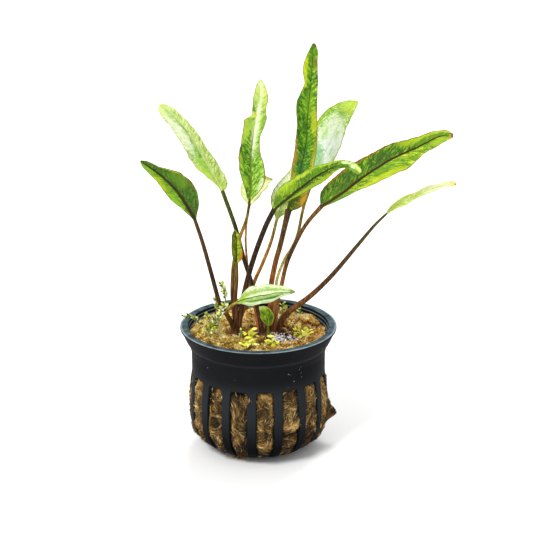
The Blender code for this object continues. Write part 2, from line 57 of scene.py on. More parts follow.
# %% Camera, its lens and sensor in millimetres
LENS = 135
SENSOR = 36
CAMERA_PLACE = (2.85, -656.1, 296.9)
DEGREES_DOWN = 19.34
scene = bpy.context.scene
scene.view_settings.view_transform = "Standard"
camera_data = bpy.data.cameras.new("camera")
camera_data.lens = LENS
camera_data.sensor_width = SENSOR
camera = bpy.data.objects.new("camera", camera_data)
camera.location = [value * MM for value in CAMERA_PLACE]
camera.rotation_euler = (math.radians(90 - DEGREES_DOWN), 0, 0)
scene.collection.objects.link(camera)
scene.camera = camera
print("camera is", round(camera.location.length, 3), "m from the pot's foot")

# %% Floor and light, in metres
FLOOR_CORNERS = [(-4, -3, 0), (4, -3, 0), (4, 5, 0), (-4, 5, 0)]
PAPER_WHITE = 0.93
SKY_STRENGTH = 0.72
floor_mesh = bpy.data.meshes.new("floor")
floor_mesh.from_pydata(FLOOR_CORNERS, [], [(0, 1, 2, 3)])
floor = bpy.data.objects.new("floor", floor_mesh)
scene.collection.objects.link(floor)
paper = bpy.data.materials.new("floor paper")
paper.use_nodes = True
paper_sockets = paper.node_tree.nodes["Principled BSDF"].inputs
paper_sockets["Base Color"].default_value = (PAPER_WHITE, PAPER_WHITE, PAPER_WHITE, 1)
paper_sockets["Roughness"].default_value = 1.0
floor_mesh.materials.append(paper)

world = bpy.data.worlds.new("sky")
world.use_nodes = True
sky_sockets = world.node_tree.nodes["Background"].inputs
sky_sockets["Color"].default_value = (1, 1, 1, 1)
sky_sockets["Strength"].default_value = SKY_STRENGTH
scene.world = world


def soft_lamp(name, place, aim, size, power):
    """A square lamp at a place in metres, turned to face the point aim."""
    data = bpy.data.lights.new(name, "AREA")
    data.size = size
    data.energy = power
    lamp = bpy.data.objects.new(name, data)
    lamp.location = place
    away = np.subtract(place, aim)
    tilt = math.atan2(math.hypot(away[0], away[1]), away[2])
    lamp.rotation_euler = (tilt, 0, math.atan2(away[1], away[0]) + math.pi / 2)
    scene.collection.objects.link(lamp)


soft_lamp("key lamp", (-0.95, -1.15, 1.65), (0, 0, 0.06), 0.7, 34)
soft_lamp("back lamp", (0.35, 1.20, 1.80), (0, 0, 0.08), 1.0, 26)

# %% [markdown]
# ## From arrays to a mesh
# A grid of points becomes a surface when each little square of four neighbours is a face.
# Where a surface closes on itself, as a tube does, its last line is joined to its first. A
# closed surface has a volume whose sign says which way its faces look, so one sum tells
# whether they have to be turned round.

# %% Grids, meshes and pieces
def grid_faces(rows, columns, wrap_rows=False, wrap_columns=False):
    """Squares between the neighbours of a grid of points; a wrapped side closes on itself."""
    i = np.arange(rows if wrap_rows else rows - 1)[:, None]
    j = np.arange(columns if wrap_columns else columns - 1)[None, :]
    below, right = (i + 1) % rows, (j + 1) % columns
    corners = [i * columns + j, i * columns + right, below * columns + right, below * columns + j]
    return np.stack(np.broadcast_arrays(*corners), axis=-1).reshape(-1, 4)


def double_fan(sides):
    """Triangles from a ring of points to the two points that follow it, one on either side."""
    first = np.arange(sides)
    second = (first + 1) % sides
    return np.vstack([np.column_stack([first, second, np.full(sides, sides)]),
                      np.column_stack([second, first, np.full(sides, sides + 1)])])


def counted_on(faces, count, size):
    """One body's faces for count bodies of size points each, numbered on from body to body."""
    return (np.arange(count)[:, None, None] * size + faces).reshape(-1, faces.shape[1])


def looking_out(points, faces):
    """The faces, turned round if the volume they enclose (a sum of corner products) is negative."""
    a, b, c = (points[faces[:, k]] for k in range(3))
    volume = np.einsum("ij,ij->", a, np.cross(b, c))
    if faces.shape[1] == 4:
        d = points[faces[:, 3]]
        volume += np.einsum("ij,ij->", a, np.cross(c, d))
    return faces if volume > 0 else faces[:, ::-1]


def make_piece(name, points, faces, finish, marks=None, smooth=True):
    """A mesh object from points in millimetres, a list of face arrays, and named point values."""
    mesh = bpy.data.meshes.new(name)
    polygons = [polygon for part in faces for polygon in part.tolist()]
    mesh.from_pydata((np.asarray(points) * MM).tolist(), [], polygons)
    for mark, values in (marks or {}).items():
        layer = mesh.attributes.new(mark, "FLOAT", "POINT")
        layer.data.foreach_set("value", np.ascontiguousarray(values, dtype=np.float32).ravel())
    mesh.polygons.foreach_set("use_smooth", np.full(len(mesh.polygons), smooth))
    mesh.materials.append(finish)
    piece = bpy.data.objects.new(name, mesh)
    scene.collection.objects.link(piece)
    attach(piece, "root")
    return piece


def triangles(piece):
    """How many triangles a piece has: a polygon of n corners counts as n - 2."""
    return sum(len(polygon.vertices) - 2 for polygon in piece.data.polygons)


# %% Curves through points and smooth random fields
def unit(vectors):
    """Vectors divided by their lengths."""
    return vectors / np.linalg.norm(vectors, axis=-1, keepdims=True)


def curve_through(points, places):
    """Points at places 0 to 1 by length along the Catmull-Rom curve through the given points."""
    knots = np.array(points, float)
    knots = np.vstack([2 * knots[0] - knots[1], knots, 2 * knots[-1] - knots[-2]])
    t = np.linspace(0, 1, 24, endpoint=False)[:, None]
    a, b, c, d = (knots[k:len(knots) - 3 + k, None] for k in range(4))
    runs = 0.5 * (2 * b + (c - a) * t + (2 * a - 5 * b + 4 * c - d) * t**2
                  + (3 * b - a - 3 * c + d) * t**3)
    fine = np.vstack([runs.reshape(-1, knots.shape[1]), knots[-2:-1]])
    length = np.concatenate([[0], np.cumsum(np.linalg.norm(np.diff(fine, axis=0), axis=1))])
    wanted = np.asarray(places) * length[-1]
    return np.column_stack([np.interp(wanted, length, fine[:, k]) for k in range(knots.shape[1])])


def smooth_values(places, values, u):
    """Values between stations by cubics whose slope at a station is the mean of its two sides."""
    places, values = np.asarray(places, float), np.asarray(values, float)
    slopes = np.gradient(values, places)
    k = np.clip(np.searchsorted(places, u, side="right") - 1, 0, len(places) - 2)
    span = places[k + 1] - places[k]
    t = (u - places[k]) / span
    return ((2 * t**3 - 3 * t**2 + 1) * values[k] + (t**3 - 2 * t**2 + t) * span * slopes[k]
            + (3 * t**2 - 2 * t**3) * values[k + 1] + (t**3 - t**2) * span * slopes[k + 1])


def ripples(points, seed, wavelength, stretch=(1, 1, 1), waves=20):
    """A smooth random field of about -1 to 1: the scaled sum of sines in random directions."""
    random = np.random.default_rng(seed)
    heading = unit(random.normal(size=(waves, 3))) / np.array(stretch)
    heading *= 2 * math.pi / (wavelength * random.uniform(0.7, 1.4, (waves, 1)))
    phase = random.uniform(0, 2 * math.pi, waves)
    flat = np.asarray(points, float).reshape(-1, 3)
    total = np.sin(flat @ heading.T + phase).sum(axis=1) / math.sqrt(waves)
    return total.reshape(np.shape(points)[:-1])


def ease(value, low, high):
    """0 below low, 1 above high, and an S-shaped step between them."""
    t = np.clip((value - low) / (high - low), 0, 1)
    return t * t * (3 - 2 * t)


print("a curve's middle:", curve_through([(0, 0, 0), (1, 0, 1), (2, 0, 0)], [0.5]).round(2))

# %% [markdown]
# ## Lofts and tubes
# A loft is a row of closed rings with a skin from each ring to the next. A leaf's blade, a rib
# of the pot and the plug of wool are lofts. So is a tube, a circle carried along a path and
# standing across it, as a stalk or a strand of wool is. One function makes any number of lofts
# at once, from one array of loft, ring, point and coordinate. Each end is closed by a point, so
# every loft holds water.

# %% Lofts, and tubes along paths
def closed_lofts(rings, ends=None):
    """Many lofts of closed rings, indexed loft, ring, point, each with a point to close either end.

    Where the ends' points aren't given, they are the means of the first and the last ring.
    """
    if ends is None:
        ends = rings[:, [0, -1]].mean(axis=2)
    count, steps, sides = rings.shape[:3]
    points = np.concatenate([rings.reshape(count, -1, 3), ends], axis=1).reshape(-1, 3)
    j = np.arange(sides)
    last, size = (steps - 1) * sides, steps * sides
    foot = np.column_stack([np.full(sides, size), (j + 1) % sides, j])
    tip = np.column_stack([np.full(sides, size + 1), last + j, last + (j + 1) % sides])
    wall = counted_on(grid_faces(steps, sides, wrap_columns=True), count, size + 2)
    caps = counted_on(np.vstack([foot, tip]), count, size + 2)
    turned = looking_out(points, wall) is not wall
    return points, [wall[:, ::-1], caps[:, ::-1]] if turned else [wall, caps]


def tubes(routes, radii, sides, reference=(0.13, 1.0, 0.07)):
    """Circles across many paths: centre + radius (cos a side + sin a up), with slightly domed ends."""
    dome = 0.4
    routes = np.asarray(routes, float)
    radii = np.broadcast_to(radii, routes.shape[:2])
    along = unit(np.gradient(routes, axis=1))
    across = unit(np.cross(along, np.asarray(reference, float)))
    up = np.cross(across, along)
    turn = np.arange(sides) * 2 * math.pi / sides
    ring = np.cos(turn)[:, None] * across[:, :, None] + np.sin(turn)[:, None] * up[:, :, None]
    rings = routes[:, :, None] + radii[:, :, None, None] * ring
    beyond = along[:, [0, -1]] * radii[:, [0, -1], None] * np.array([[-dome], [dome]])
    return closed_lofts(rings, routes[:, [0, -1]] + beyond)


def per_point(values, steps, sides):
    """Values given per tube and step, repeated for the points of each ring and for both ends."""
    values = np.broadcast_to(values, (len(values), steps))
    rings = np.repeat(values[:, :, None], sides, axis=2).reshape(len(values), -1)
    return np.concatenate([rings, values[:, [0, -1]]], axis=1).ravel()


test_points, test_faces = tubes([[(0, 0, 0), (0, 0, 1), (0, 0, 2)]], 0.5, 6)
print("a test tube has", len(test_points), "points and", sum(map(len, test_faces)), "faces")

# %% [markdown]
# ## Materials as arithmetic
# A finish is a sum of patterns: noise, stripes, a border, a spot. Nodes can be wired by hand,
# but an expression such as `1 - stripe * 0.5` is far easier to read. A small class wraps an
# output socket, and each operator on it adds the Math node that does that sum. Colours go
# through Mix nodes, because a Math node would turn them grey.

# %% The class that turns expressions into nodes
class Value:
    """An output socket that can stand in a sum."""

    def __init__(self, finish, socket):
        self.finish, self.socket = finish, socket

    def math(self, operation, *rest):
        return self.finish.add("ShaderNodeMath", {"operation": operation},
                               dict(enumerate((self, *rest))))

    def __add__(self, other):
        return self.math("ADD", other)

    def __sub__(self, other):
        return self.math("SUBTRACT", other)

    def __rsub__(self, other):
        return self * -1 + other

    def __mul__(self, other):
        return self.math("MULTIPLY", other)

    def __truediv__(self, other):
        return self.math("DIVIDE", other)

    def __pow__(self, other):
        return self.math("POWER", other)

    def __abs__(self):
        return self.math("ABSOLUTE")

    __radd__ = __add__
    __rmul__ = __mul__

    def sine(self):
        return self.math("SINE")

    def least(self, other):
        return self.math("MINIMUM", other)

    def step(self, low, high):
        """0 at low, 1 at high, with a soft S between; low may be the larger."""
        return self.finish.add("ShaderNodeMapRange", {"interpolation_type": "SMOOTHSTEP"},
                               {"Value": self, "From Min": low, "From Max": high})


def tone(red, green, blue):
    """A screen colour of 0 to 255 as the linear values that shading uses."""
    screen = np.array([red, green, blue]) / 255
    linear = np.where(screen <= 0.04045, screen / 12.92, ((screen + 0.055) / 1.055)**2.4)
    return (*linear.tolist(), 1.0)


def socket_of(sockets, key):
    """The socket with a number, or else with an identifier or a name."""
    if isinstance(key, int):
        return sockets[key]
    return next(socket for socket in sockets if key in (socket.identifier, socket.name))


class Finish:
    """A material with its Principled shader; add() makes every other node."""

    def __init__(self, name, **constants):
        self.material = bpy.data.materials.new(name)
        self.material.use_nodes = True
        self.tree = self.material.node_tree
        self.shader = self.tree.nodes["Principled BSDF"]
        self.set(**constants)

    def feed(self, socket, value):
        """Links a Value to a socket, or sets the socket to a number or a colour."""
        if isinstance(value, Value):
            self.tree.links.new(value.socket, socket)
        else:
            socket.default_value = value

    def set(self, **sockets):
        """Feeds the shader's sockets; an underscore in a name stands for a space."""
        for name, value in sockets.items():
            self.feed(self.shader.inputs[name.replace("_", " ")], value)
        return self.material

    def add(self, kind, settings=None, inputs=None, output=0):
        """A node of a kind: its settings first, then its sockets' values or links."""
        node = self.tree.nodes.new(kind)
        for key, value in (settings or {}).items():
            if key == "stops":
                ramp = node.color_ramp.elements
                while len(ramp) < len(value):
                    ramp.new(0.5)
                for element, (place, colour) in zip(ramp, value):
                    element.position, element.color = place, colour
            else:
                setattr(node, key, value)
        for key, value in (inputs or {}).items():
            self.feed(socket_of(node.inputs, key), value)
        return Value(self, socket_of(node.outputs, output))

    def mark(self, name):
        """A value that is stored on the mesh's points."""
        return self.add("ShaderNodeAttribute", {"attribute_name": name}, output="Fac")

    def spot(self):
        """Object coordinates, in metres."""
        return self.add("ShaderNodeTexCoord", output="Object")

    def place(self, stretch=(1, 1, 1), turn=(0, 0, 0)):
        """Object coordinates, stretched and turned for a pattern."""
        return self.add("ShaderNodeMapping", None,
                        {"Vector": self.spot(), "Scale": stretch, "Rotation": turn})

    def height(self):
        """The height of a point above the floor, in metres."""
        return self.add("ShaderNodeSeparateXYZ", None, {"Vector": self.spot()}, "Z")

    def noise(self, place, size, detail=3.0, roughness=0.6, distortion=0.0):
        """Cloudy noise whose lumps are about size millimetres wide."""
        return self.add("ShaderNodeTexNoise", None,
                        {"Vector": place, "Scale": 1 / (size * MM), "Detail": detail,
                         "Roughness": roughness, "Distortion": distortion}, "Fac")

    def mix(self, factor, first, second, blend="MIX"):
        """From the first colour at factor 0 to the second at 1."""
        return self.add("ShaderNodeMix", {"data_type": "RGBA", "blend_type": blend},
                        {"Factor_Float": factor, "A_Color": first, "B_Color": second},
                        "Result_Color")

    def ramp(self, value, stops):
        """The colour that a row of stops, each a place and a colour, has at the value."""
        return self.add("ShaderNodeValToRGB", {"stops": stops}, {"Fac": value}, "Color")

    def bump(self, height, depth):
        """A Bump node: heights of 0 to 1 stand for up to depth millimetres."""
        return self.add("ShaderNodeBump", None, {"Height": height, "Distance": depth * MM}, "Normal")


print("mid grey", tuple(round(v, 3) for v in tone(128, 128, 128)))

# %% [markdown]
# ## The net pot
# The real pot is one moulding of black plastic: a flat lip, a flared collar that ends in a
# step, a short straight wall, sixteen ribs that bow out and curve in under the wool, and a
# small slotted foot. A Boolean could cut the slots, but it would leave long thin faces. It is
# neater to turn the collar as a closed section, carry a rounded bar down the curve of each
# rib, and let their ends run into each other.

# %% Measures of the pot
RIM_RADIUS = 27.5
POT_HEIGHT = 45.0
LIP_INNER = 24.7
BODY_RADIUS = 23.5
STEP_HEIGHT = 36.9
SLOT_TOP = 28.5
WALL = 1.1
RIB_WIDTH = 3.05
RIB_ANGLES = np.radians(-5.5 + 22.5 * np.arange(16))
FOOT_RADIUS = 12.3
RIB_CURVE = [(23.5, 30.5), (23.5, 28.5), (24.1, 24.5), (24.4, 20.5), (24.4, 14.5), (23.8, 9.6),
             (22.3, 6.0), (19.8, 3.2), (16.5, 1.3), (FOOT_RADIUS, 0.25), (FOOT_RADIUS - 1.5, 0.1)]


def around(radius, angle, height):
    """Points at a radius, an angle from the front (towards +X) and a height."""
    radius, angle, height = np.broadcast_arrays(radius, angle, height)
    return np.stack([radius * np.sin(angle), -radius * np.cos(angle), height], axis=-1)


def rounded_section(corners, radius, steps=4):
    """A closed outline with each corner replaced by a short curve that starts a radius before it."""
    corners = np.array(corners, float)
    before, after = np.roll(corners, 1, axis=0), np.roll(corners, -1, axis=0)
    reach = np.minimum(radius, 0.45 * np.minimum(np.linalg.norm(before - corners, axis=1),
                                                 np.linalg.norm(after - corners, axis=1)))[:, None]
    start, end = corners + unit(before - corners) * reach, corners + unit(after - corners) * reach
    t = np.linspace(0, 1, steps)[None, :, None]
    curve = start[:, None] * (1 - t)**2 + corners[:, None] * 2 * t * (1 - t) + end[:, None] * t**2
    return curve.reshape(-1, 2)


# %% The collar, turned as one closed section
collar_corners = [
    (RIM_RADIUS, POT_HEIGHT), (RIM_RADIUS, POT_HEIGHT - 0.75), (RIM_RADIUS - 0.35, POT_HEIGHT - 1.05),
    (RIM_RADIUS - 0.95, POT_HEIGHT - 2.3), (RIM_RADIUS - 1.65, POT_HEIGHT - 3.9),
    (RIM_RADIUS - 2.3, POT_HEIGHT - 5.2), (BODY_RADIUS + 1.35, STEP_HEIGHT + 2.3),
    (BODY_RADIUS + 0.75, STEP_HEIGHT + 1.6), (BODY_RADIUS + 0.05, STEP_HEIGHT - 1.4),
    (BODY_RADIUS, SLOT_TOP), (BODY_RADIUS - WALL, SLOT_TOP),
    (BODY_RADIUS - WALL, STEP_HEIGHT + 3.2), (LIP_INNER - 1.5, STEP_HEIGHT + 3.6),
    (LIP_INNER - 1.5, STEP_HEIGHT + 4.5), (LIP_INNER - 0.85, STEP_HEIGHT + 4.8),
    (LIP_INNER - 0.85, STEP_HEIGHT + 5.7), (LIP_INNER - 0.3, STEP_HEIGHT + 5.95),
    (LIP_INNER - 0.3, STEP_HEIGHT + 6.9), (LIP_INNER, STEP_HEIGHT + 7.15), (LIP_INNER, POT_HEIGHT)]
collar_section = rounded_section(collar_corners, 0.35)
turn = np.linspace(0, 2 * math.pi, 240, endpoint=False)
collar_points = around(collar_section[None, :, 0], turn[:, None], collar_section[None, :, 1]).reshape(-1, 3)
collar_faces = looking_out(collar_points, grid_faces(len(turn), len(collar_section), True, True))
print("collar section of", len(collar_section), "points,", len(collar_faces), "faces")

# %% The ribs, each a rounded bar carried down one curve
rib_steps = 46
rib_line = curve_through(RIB_CURVE, np.linspace(0, 1, rib_steps))
rib_along = unit(np.gradient(rib_line, axis=0))
rib_out = np.column_stack([-rib_along[:, 1], rib_along[:, 0]])
bar = rounded_section([(-0.5, 0), (0.5, 0), (0.5, -1), (-0.5, -1)], 0.16, 3)
below_top = np.clip(SLOT_TOP - rib_line[:, 1], 0, None)
fillet = 0.8
into_fillet = fillet - np.minimum(below_top, fillet)
width = RIB_WIDTH + 2 * np.where(below_top < fillet, fillet - np.sqrt(fillet**2 - into_fillet**2), 0)
radius = rib_line[:, None, 0] + rib_out[:, None, 0] * bar[None, :, 1] * WALL
height = rib_line[:, None, 1] + rib_out[:, None, 1] * bar[None, :, 1] * WALL
sideways = width[:, None] * bar[None, :, 0]
out = np.stack([np.sin(RIB_ANGLES), -np.cos(RIB_ANGLES), 0 * RIB_ANGLES], axis=-1)[:, None, None]
side = np.stack([np.cos(RIB_ANGLES), np.sin(RIB_ANGLES), 0 * RIB_ANGLES], axis=-1)[:, None, None]
ribs = (out * radius[None, :, :, None] + side * sideways[None, :, :, None]
        + np.array([0, 0, 1.0]) * height[None, :, :, None])
rib_points, rib_faces = closed_lofts(ribs)
print("ribs:", ribs.shape[0], "of", ribs.shape[1] * ribs.shape[2], "points")

# %% The foot: a hub, an outer ring and spokes with drain slits between them
FOOT_THICKNESS = 1.2
HUB_RADIUS = 4.5
RING_INNER = 10.5
SLIT_WIDTH = 1.8
OVERLAP = 0.1


def polar_blocks(inner, outer, first, last, steps):
    """Curved blocks on the floor between two radii and pairs of angles, as closed lofts."""
    share = np.linspace(0, 1, steps)[None, :, None]
    angle = np.asarray(first)[:, None, None] * (1 - share) + np.asarray(last)[:, None, None] * share
    radius = np.array([inner, outer, outer, inner])[None, None, :]
    height = np.array([0, 0, FOOT_THICKNESS, FOOT_THICKNESS])[None, None, :]
    return closed_lofts(around(radius, angle, height))


spoke_angles = np.arange(8) * math.pi / 4
slit_half = SLIT_WIDTH / 2 / ((HUB_RADIUS + RING_INNER) / 2)
foot_parts = [
    polar_blocks(HUB_RADIUS - OVERLAP, RING_INNER + OVERLAP,
                 spoke_angles + slit_half, spoke_angles + math.pi / 4 - slit_half, 8),
    polar_blocks(RING_INNER, FOOT_RADIUS + 0.5, [0], [2 * math.pi], 97),
    polar_blocks(0.01, HUB_RADIUS, [0], [2 * math.pi], 65)]
print("foot parts:", [len(points) for points, faces in foot_parts])


def join(parts):
    """Several (points, faces) bodies as one: each body's faces are counted on from the last."""
    points, faces, start = [], [], 0
    for body_points, body_faces in parts:
        points.append(body_points)
        faces.extend(face + start for face in body_faces)
        start += len(body_points)
    return np.vstack(points), faces


# %% [markdown]
# ### Black plastic
# Moulded black plastic isn't one flat black. Its skin is finely pebbled, and a little dust lies on
# it. The lip, which looks up, is painted greyer and bluer than the sides as a sheen, and bears some
# brown dirt. Thin highlights are painted on its outer edge and on the steps, and the ribs are
# painted darker towards the foot, as shade. Height alone tells the lip from the rest, so the finish
# reads the object coordinates.

# %% The pot's finish and its piece
plastic = Finish("black moulded plastic", Specular_IOR_Level=0.12, IOR=1.15)
place = plastic.place()
cloud = plastic.noise(place, 9.0)
grain = plastic.noise(place, 0.35, 2.0)
height = plastic.height()
rise = (cloud - 0.5) * 1.2 * MM + height
lip = height.step(44.80 * MM, 44.98 * MM)
sides_colour = plastic.mix(cloud, tone(18, 18, 20), tone(26, 27, 29))
# A thin paler line just above the step is a painted highlight.
step_highlight = rise.step(37.8 * MM, 38.7 * MM) * rise.step(39.6 * MM, 38.8 * MM)
sides_colour = plastic.mix(step_highlight * 0.7, sides_colour, tone(40, 41, 45))
# The ribs are painted darker towards the foot, as shade.
ribs_colour_with_painted_shade = plastic.mix(rise.step(4 * MM, 22 * MM), tone(9, 10, 12), tone(38, 41, 44))
sides_colour = plastic.mix(rise.step(26 * MM, 33 * MM), ribs_colour_with_painted_shade, sides_colour)
sheen_and_dirt_noise = plastic.noise(place, 3.5, 4.0, 0.6)
# The lip's grey-blue is a painted sheen on its up-facing top; the brown patches mixed in next are dirt.
lip_sheen_and_dirt = plastic.mix(sheen_and_dirt_noise.step(0.30, 0.70), tone(40, 54, 58), tone(82, 100, 104))
dirt = sheen_and_dirt_noise.step(0.50, 0.62) * plastic.noise(place, 13.0, 1.0).step(0.48, 0.60)
lip_sheen_and_dirt = plastic.mix(dirt * 0.7, lip_sheen_and_dirt, tone(100, 88, 78))
# The lip's outer edge gets a thin paler line, a painted highlight.
flat_spot = plastic.add("ShaderNodeVectorMath", {"operation": "MULTIPLY"}, {0: plastic.spot(), 1: (1, 1, 0)})
from_axis = plastic.add("ShaderNodeVectorMath", {"operation": "LENGTH"}, {0: flat_spot}, "Value")
edge_highlight_and_wear = from_axis.step(26.6 * MM, 27.1 * MM) * (sheen_and_dirt_noise.step(0.2, 0.6) * 0.6 + 0.3)
lip_sheen_and_dirt = plastic.mix(edge_highlight_and_wear, lip_sheen_and_dirt, tone(136, 150, 156))
# Inside, the wall comes down in three steps, and each step's small floor is painted grey as a highlight.
inner_step_highlights = sum(abs(height - at * MM).step(0.22 * MM, 0.12 * MM) for at in (41.55, 42.72, 43.92))
inner_step_highlights = inner_step_highlights * from_axis.step(25.4 * MM, 25.0 * MM)
sides_colour = plastic.mix(inner_step_highlights * 0.8, sides_colour, tone(92, 106, 110))
dust = plastic.noise(place, 0.8, 2.0).step(0.72, 0.78) * plastic.noise(place, 14.0, 1.0).step(0.50, 0.62)
colour = plastic.mix(lip, sides_colour, lip_sheen_and_dirt)
colour = plastic.mix(dust * 0.35, colour, tone(110, 115, 112))
plastic.set(Base_Color=colour, Roughness=0.46 + cloud * 0.16,
            Normal=plastic.bump(grain + dust, 0.03))
pot_points, pot_faces = join([(collar_points, [collar_faces]), (rib_points, rib_faces), *foot_parts])
pot = make_piece("pot_moulding", pot_points, pot_faces, plastic.material)
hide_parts("net_pot")
sharp = pot.modifiers.new("soft shading", "EDGE_SPLIT")
sharp.split_angle = math.radians(50)
print("pot:", triangles(pot), "triangles")

# %% [markdown]
# ## The fibre wool
# The plug of wool is a felt of fine golden and brown fibres. It stands a little under the lip,
# with a mound at the back right, and swells out between the ribs like a cushion through a
# grating. One closed surface of revolution gives its body. Its radius is not constant: it dips
# behind each rib, swells in each slot, and is roughened by smooth random fields. Thousands of
# curled strands then lie on it, because a real felt has loose ends that catch the light.

# %% Tufts and hollows of the wool
# On the side: angle, height, half sizes across and up (degrees, mm), bulge in mm, lightness.
# The lightness is partly the felt's own tone, partly painted light on bulges and painted shade in dents.
# The first ones are read off the real plug; the rest of the way round they are scattered.
SIDE_TUFTS = [
    (-67.5, 26.5, 9, 3.4, 0.4, 0.75), (-63, 24.3, 2.4, 0.9, -0.7, -0.4), (-70, 20.0, 8, 3.6, 0.3, 0.62),
    (-64, 12.5, 7, 3.6, 0.3, 0.42), (-44.5, 25, 4.0, 4.2, -1.3, -0.5), (-35.5, 27.3, 3.2, 1.5, 0.7, 0.45),
    (-37, 22, 5, 2.0, 0.2, 0.06), (-38, 15.6, 3.6, 1.7, -1.2, -0.5), (-40, 18.6, 5.5, 0.9, 0.7, 0.25),
    (-44, 15.6, 1.6, 2.2, 0.5, 0.2), (-39.5, 12.2, 5.5, 1.0, 0.9, 0.40), (-33, 14.0, 1.8, 3.0, 0.7, 0.2),
    (-36, 7.5, 6, 2.5, 0.1, 0.12), (-17, 27.5, 9, 1.3, -1.3, -0.55), (-20, 22, 5, 2.6, 0.2, 0.05),
    (-21, 17.5, 2.4, 3.6, 0.7, 0.22), (-11, 17, 2.6, 3.6, 0.0, -0.12), (-17.5, 10.8, 2.2, 2.6, 0.6, 0.35),
    (-13, 7.6, 4.0, 2.6, -0.9, -0.4), (5.5, 27.0, 7.5, 1.7, 0.5, 0.38), (11.5, 22.0, 3.4, 3.4, 0.7, 0.42),
    (1.5, 22.0, 4, 2.0, -0.3, -0.05), (1.5, 15.8, 2.4, 1.1, 0.9, 0.55), (8, 13.4, 5, 1.2, -0.5, -0.2),
    (8, 9.2, 7, 1.4, 0.9, 0.5), (2.5, 6.0, 2.2, 2.2, 0.6, 0.3), (12, 5.6, 4, 2.0, -0.5, -0.3),
    (26, 25.5, 8, 3.0, -0.2, -0.05), (27.5, 20.5, 7, 1.8, 0.3, 0.25), (39.0, 17.8, 3.2, 1.0, 1.7, 0.42),
    (35.0, 17.0, 2.6, 0.9, 0.9, 0.3), (31, 15.2, 10.5, 1.6, 1.7, 0.72), (28, 12.2, 7, 0.9, -0.8, -0.4),
    (28, 8, 8, 2.2, -0.3, -0.08), (44, 25.5, 3.0, 2.2, 0.4, 0.42), (49, 20, 5, 5, 0.0, 0.06),
    (47, 9.5, 6, 3.5, -0.6, -0.32), (67, 25, 8, 5, 0.3, 0.44), (70, 17, 8, 5, 0.0, 0.36),
    (86, 4.6, 13, 2.4, 1.5, 0.1),
    # One bulge at the far left, given twice because the angles start and end there.
    (-87, 5.6, 12, 2.8, 1.6, 0.1), (273, 5.6, 12, 2.8, 1.6, 0.1)]
random = np.random.default_rng(5)
more = 90
scattered = np.column_stack([
    random.uniform(78, 282, more), random.uniform(3, 28, more), random.uniform(2.5, 8, more),
    random.uniform(1.0, 3.2, more), random.normal(0, 0.6, more), np.zeros(more)])
# The scattered tufts are painted lighter as they bulge and darker as they dent: painted light and shade.
scattered[:, 5] = 0.45 * scattered[:, 4] + random.normal(0, 0.15, more)
SIDE_TUFTS = np.vstack([SIDE_TUFTS, scattered])
# On the top: x, y, half sizes, bump, lightness, which is partly the felt's own tone and partly
# painted light on mounds and painted shade in hollows. Mounds at the back, a knot with a dark eye, a hollow.
KNOT = (10.2, 3.2)
TOP_TUFTS = np.array([
    (15.5, 11, 6.5, 5.0, 1.5, 0.16), (-12, 12, 7, 6, 1.0, 0.14), (19.8, 6.2, 1.8, 1.6, -1.4, -0.65),
    (17.0, 7.6, 1.4, 1.2, -0.8, -0.5), (*KNOT, 1.2, 1.3, -1.1, -0.6), (12.5, -2.6, 4.2, 2.4, -0.4, -0.45),
    (5.5, -3.5, 2.6, 1.6, -0.3, -0.4), (-1.5, -4.5, 3.0, 2.0, -0.4, -0.35), (-13, -9, 6, 4, 0.3, 0.0),
    (-11, -13, 4.0, 3.0, 0.0, -0.18), (-15, 0.5, 4.5, 3.0, 0.0, 0.12), (8.5, -7, 3.4, 2.4, -0.2, -0.35),
    (-1, -12, 2.4, 2.2, -0.2, -0.3), (13.5, -8, 2.0, 1.8, -0.2, -0.25), (-19, 3, 3.5, 4, 0.3, 0.1),
    (-5, -15, 6, 3, 0.2, 0.0), (18, -8, 3, 3, 0.2, 0.12), (4, -18.5, 5, 2, 0.0, -0.04),
    (-9, -19, 3.0, 1.8, -0.1, -0.2), (-16.5, -12.5, 1.8, 1.4, -0.2, -0.3), (0.5, -9.5, 7, 4.5, 0.0, -0.17),
    (-4.5, -18, 1.6, 1.0, -0.1, -0.3), (10.5, -15, 3.0, 1.2, -0.1, -0.25), (-12, -16, 1.4, 0.9, -0.1, -0.3)])


def tuft_sum(across, up, table, column):
    """Sum over the tufts of a column's value times exp(-(distance in half sizes)^2)."""
    across, up = np.asarray(across, float)[..., None], np.asarray(up, float)[..., None]
    far = ((across - table[:, 0]) / table[:, 2])**2 + ((up - table[:, 1]) / table[:, 3])**2
    return (np.exp(-far) * table[:, column]).sum(axis=-1)


# %% How far the wool reaches
WOOL_TOP = 42.3
WOOL_INSIDE = 23.6
PITCH = math.radians(22.5)
# The pointed tuft at the right: its place, half its width, how far it goes up and down, and how
# far its point stands out.
TUFT_DEGREES, TUFT_HEIGHT = 95.75, 10.2
TUFT_HALF, TUFT_UP, TUFT_DOWN, TUFT_OUT = 3.6, 6.2, 4.6, 4.4
rib_profile = curve_through(RIB_CURVE, np.linspace(0, 1, 200))[::-1]


def rib_reach(height):
    """The ribs' outer radius at a height, read from their curve; above the slots it is the wall's."""
    return np.interp(height, np.maximum.accumulate(rib_profile[:, 1]), rib_profile[:, 0])


def crests(points, seed, wavelength, stretch=(1, 1, 1), waves=20):
    """A field with sharp crests and wide valleys, as folds of felt have: 1 - 2 |ripples|."""
    return 1 - 2 * np.abs(ripples(points, seed, wavelength, stretch, waves))


def from_rib(angle):
    """How far an angle is from the nearest rib: 0 at its middle, 1 at the middle of a slot."""
    return np.abs((angle - RIB_ANGLES[0] + PITCH / 2) % PITCH - PITCH / 2) / (PITCH / 2)


def front_degrees(angle):
    """An angle in degrees from -80 to 280, as in the table of the side's tufts."""
    return (np.degrees(angle) + 80) % 360 - 80


def side_folds(points):
    """The folds on the side, broad ones and fine ones, all longer up and down than across."""
    return crests(points, 12, 2.6, (1, 1, 1.5)), crests(points, 13, 1.1, (1, 1, 1.8), 28)


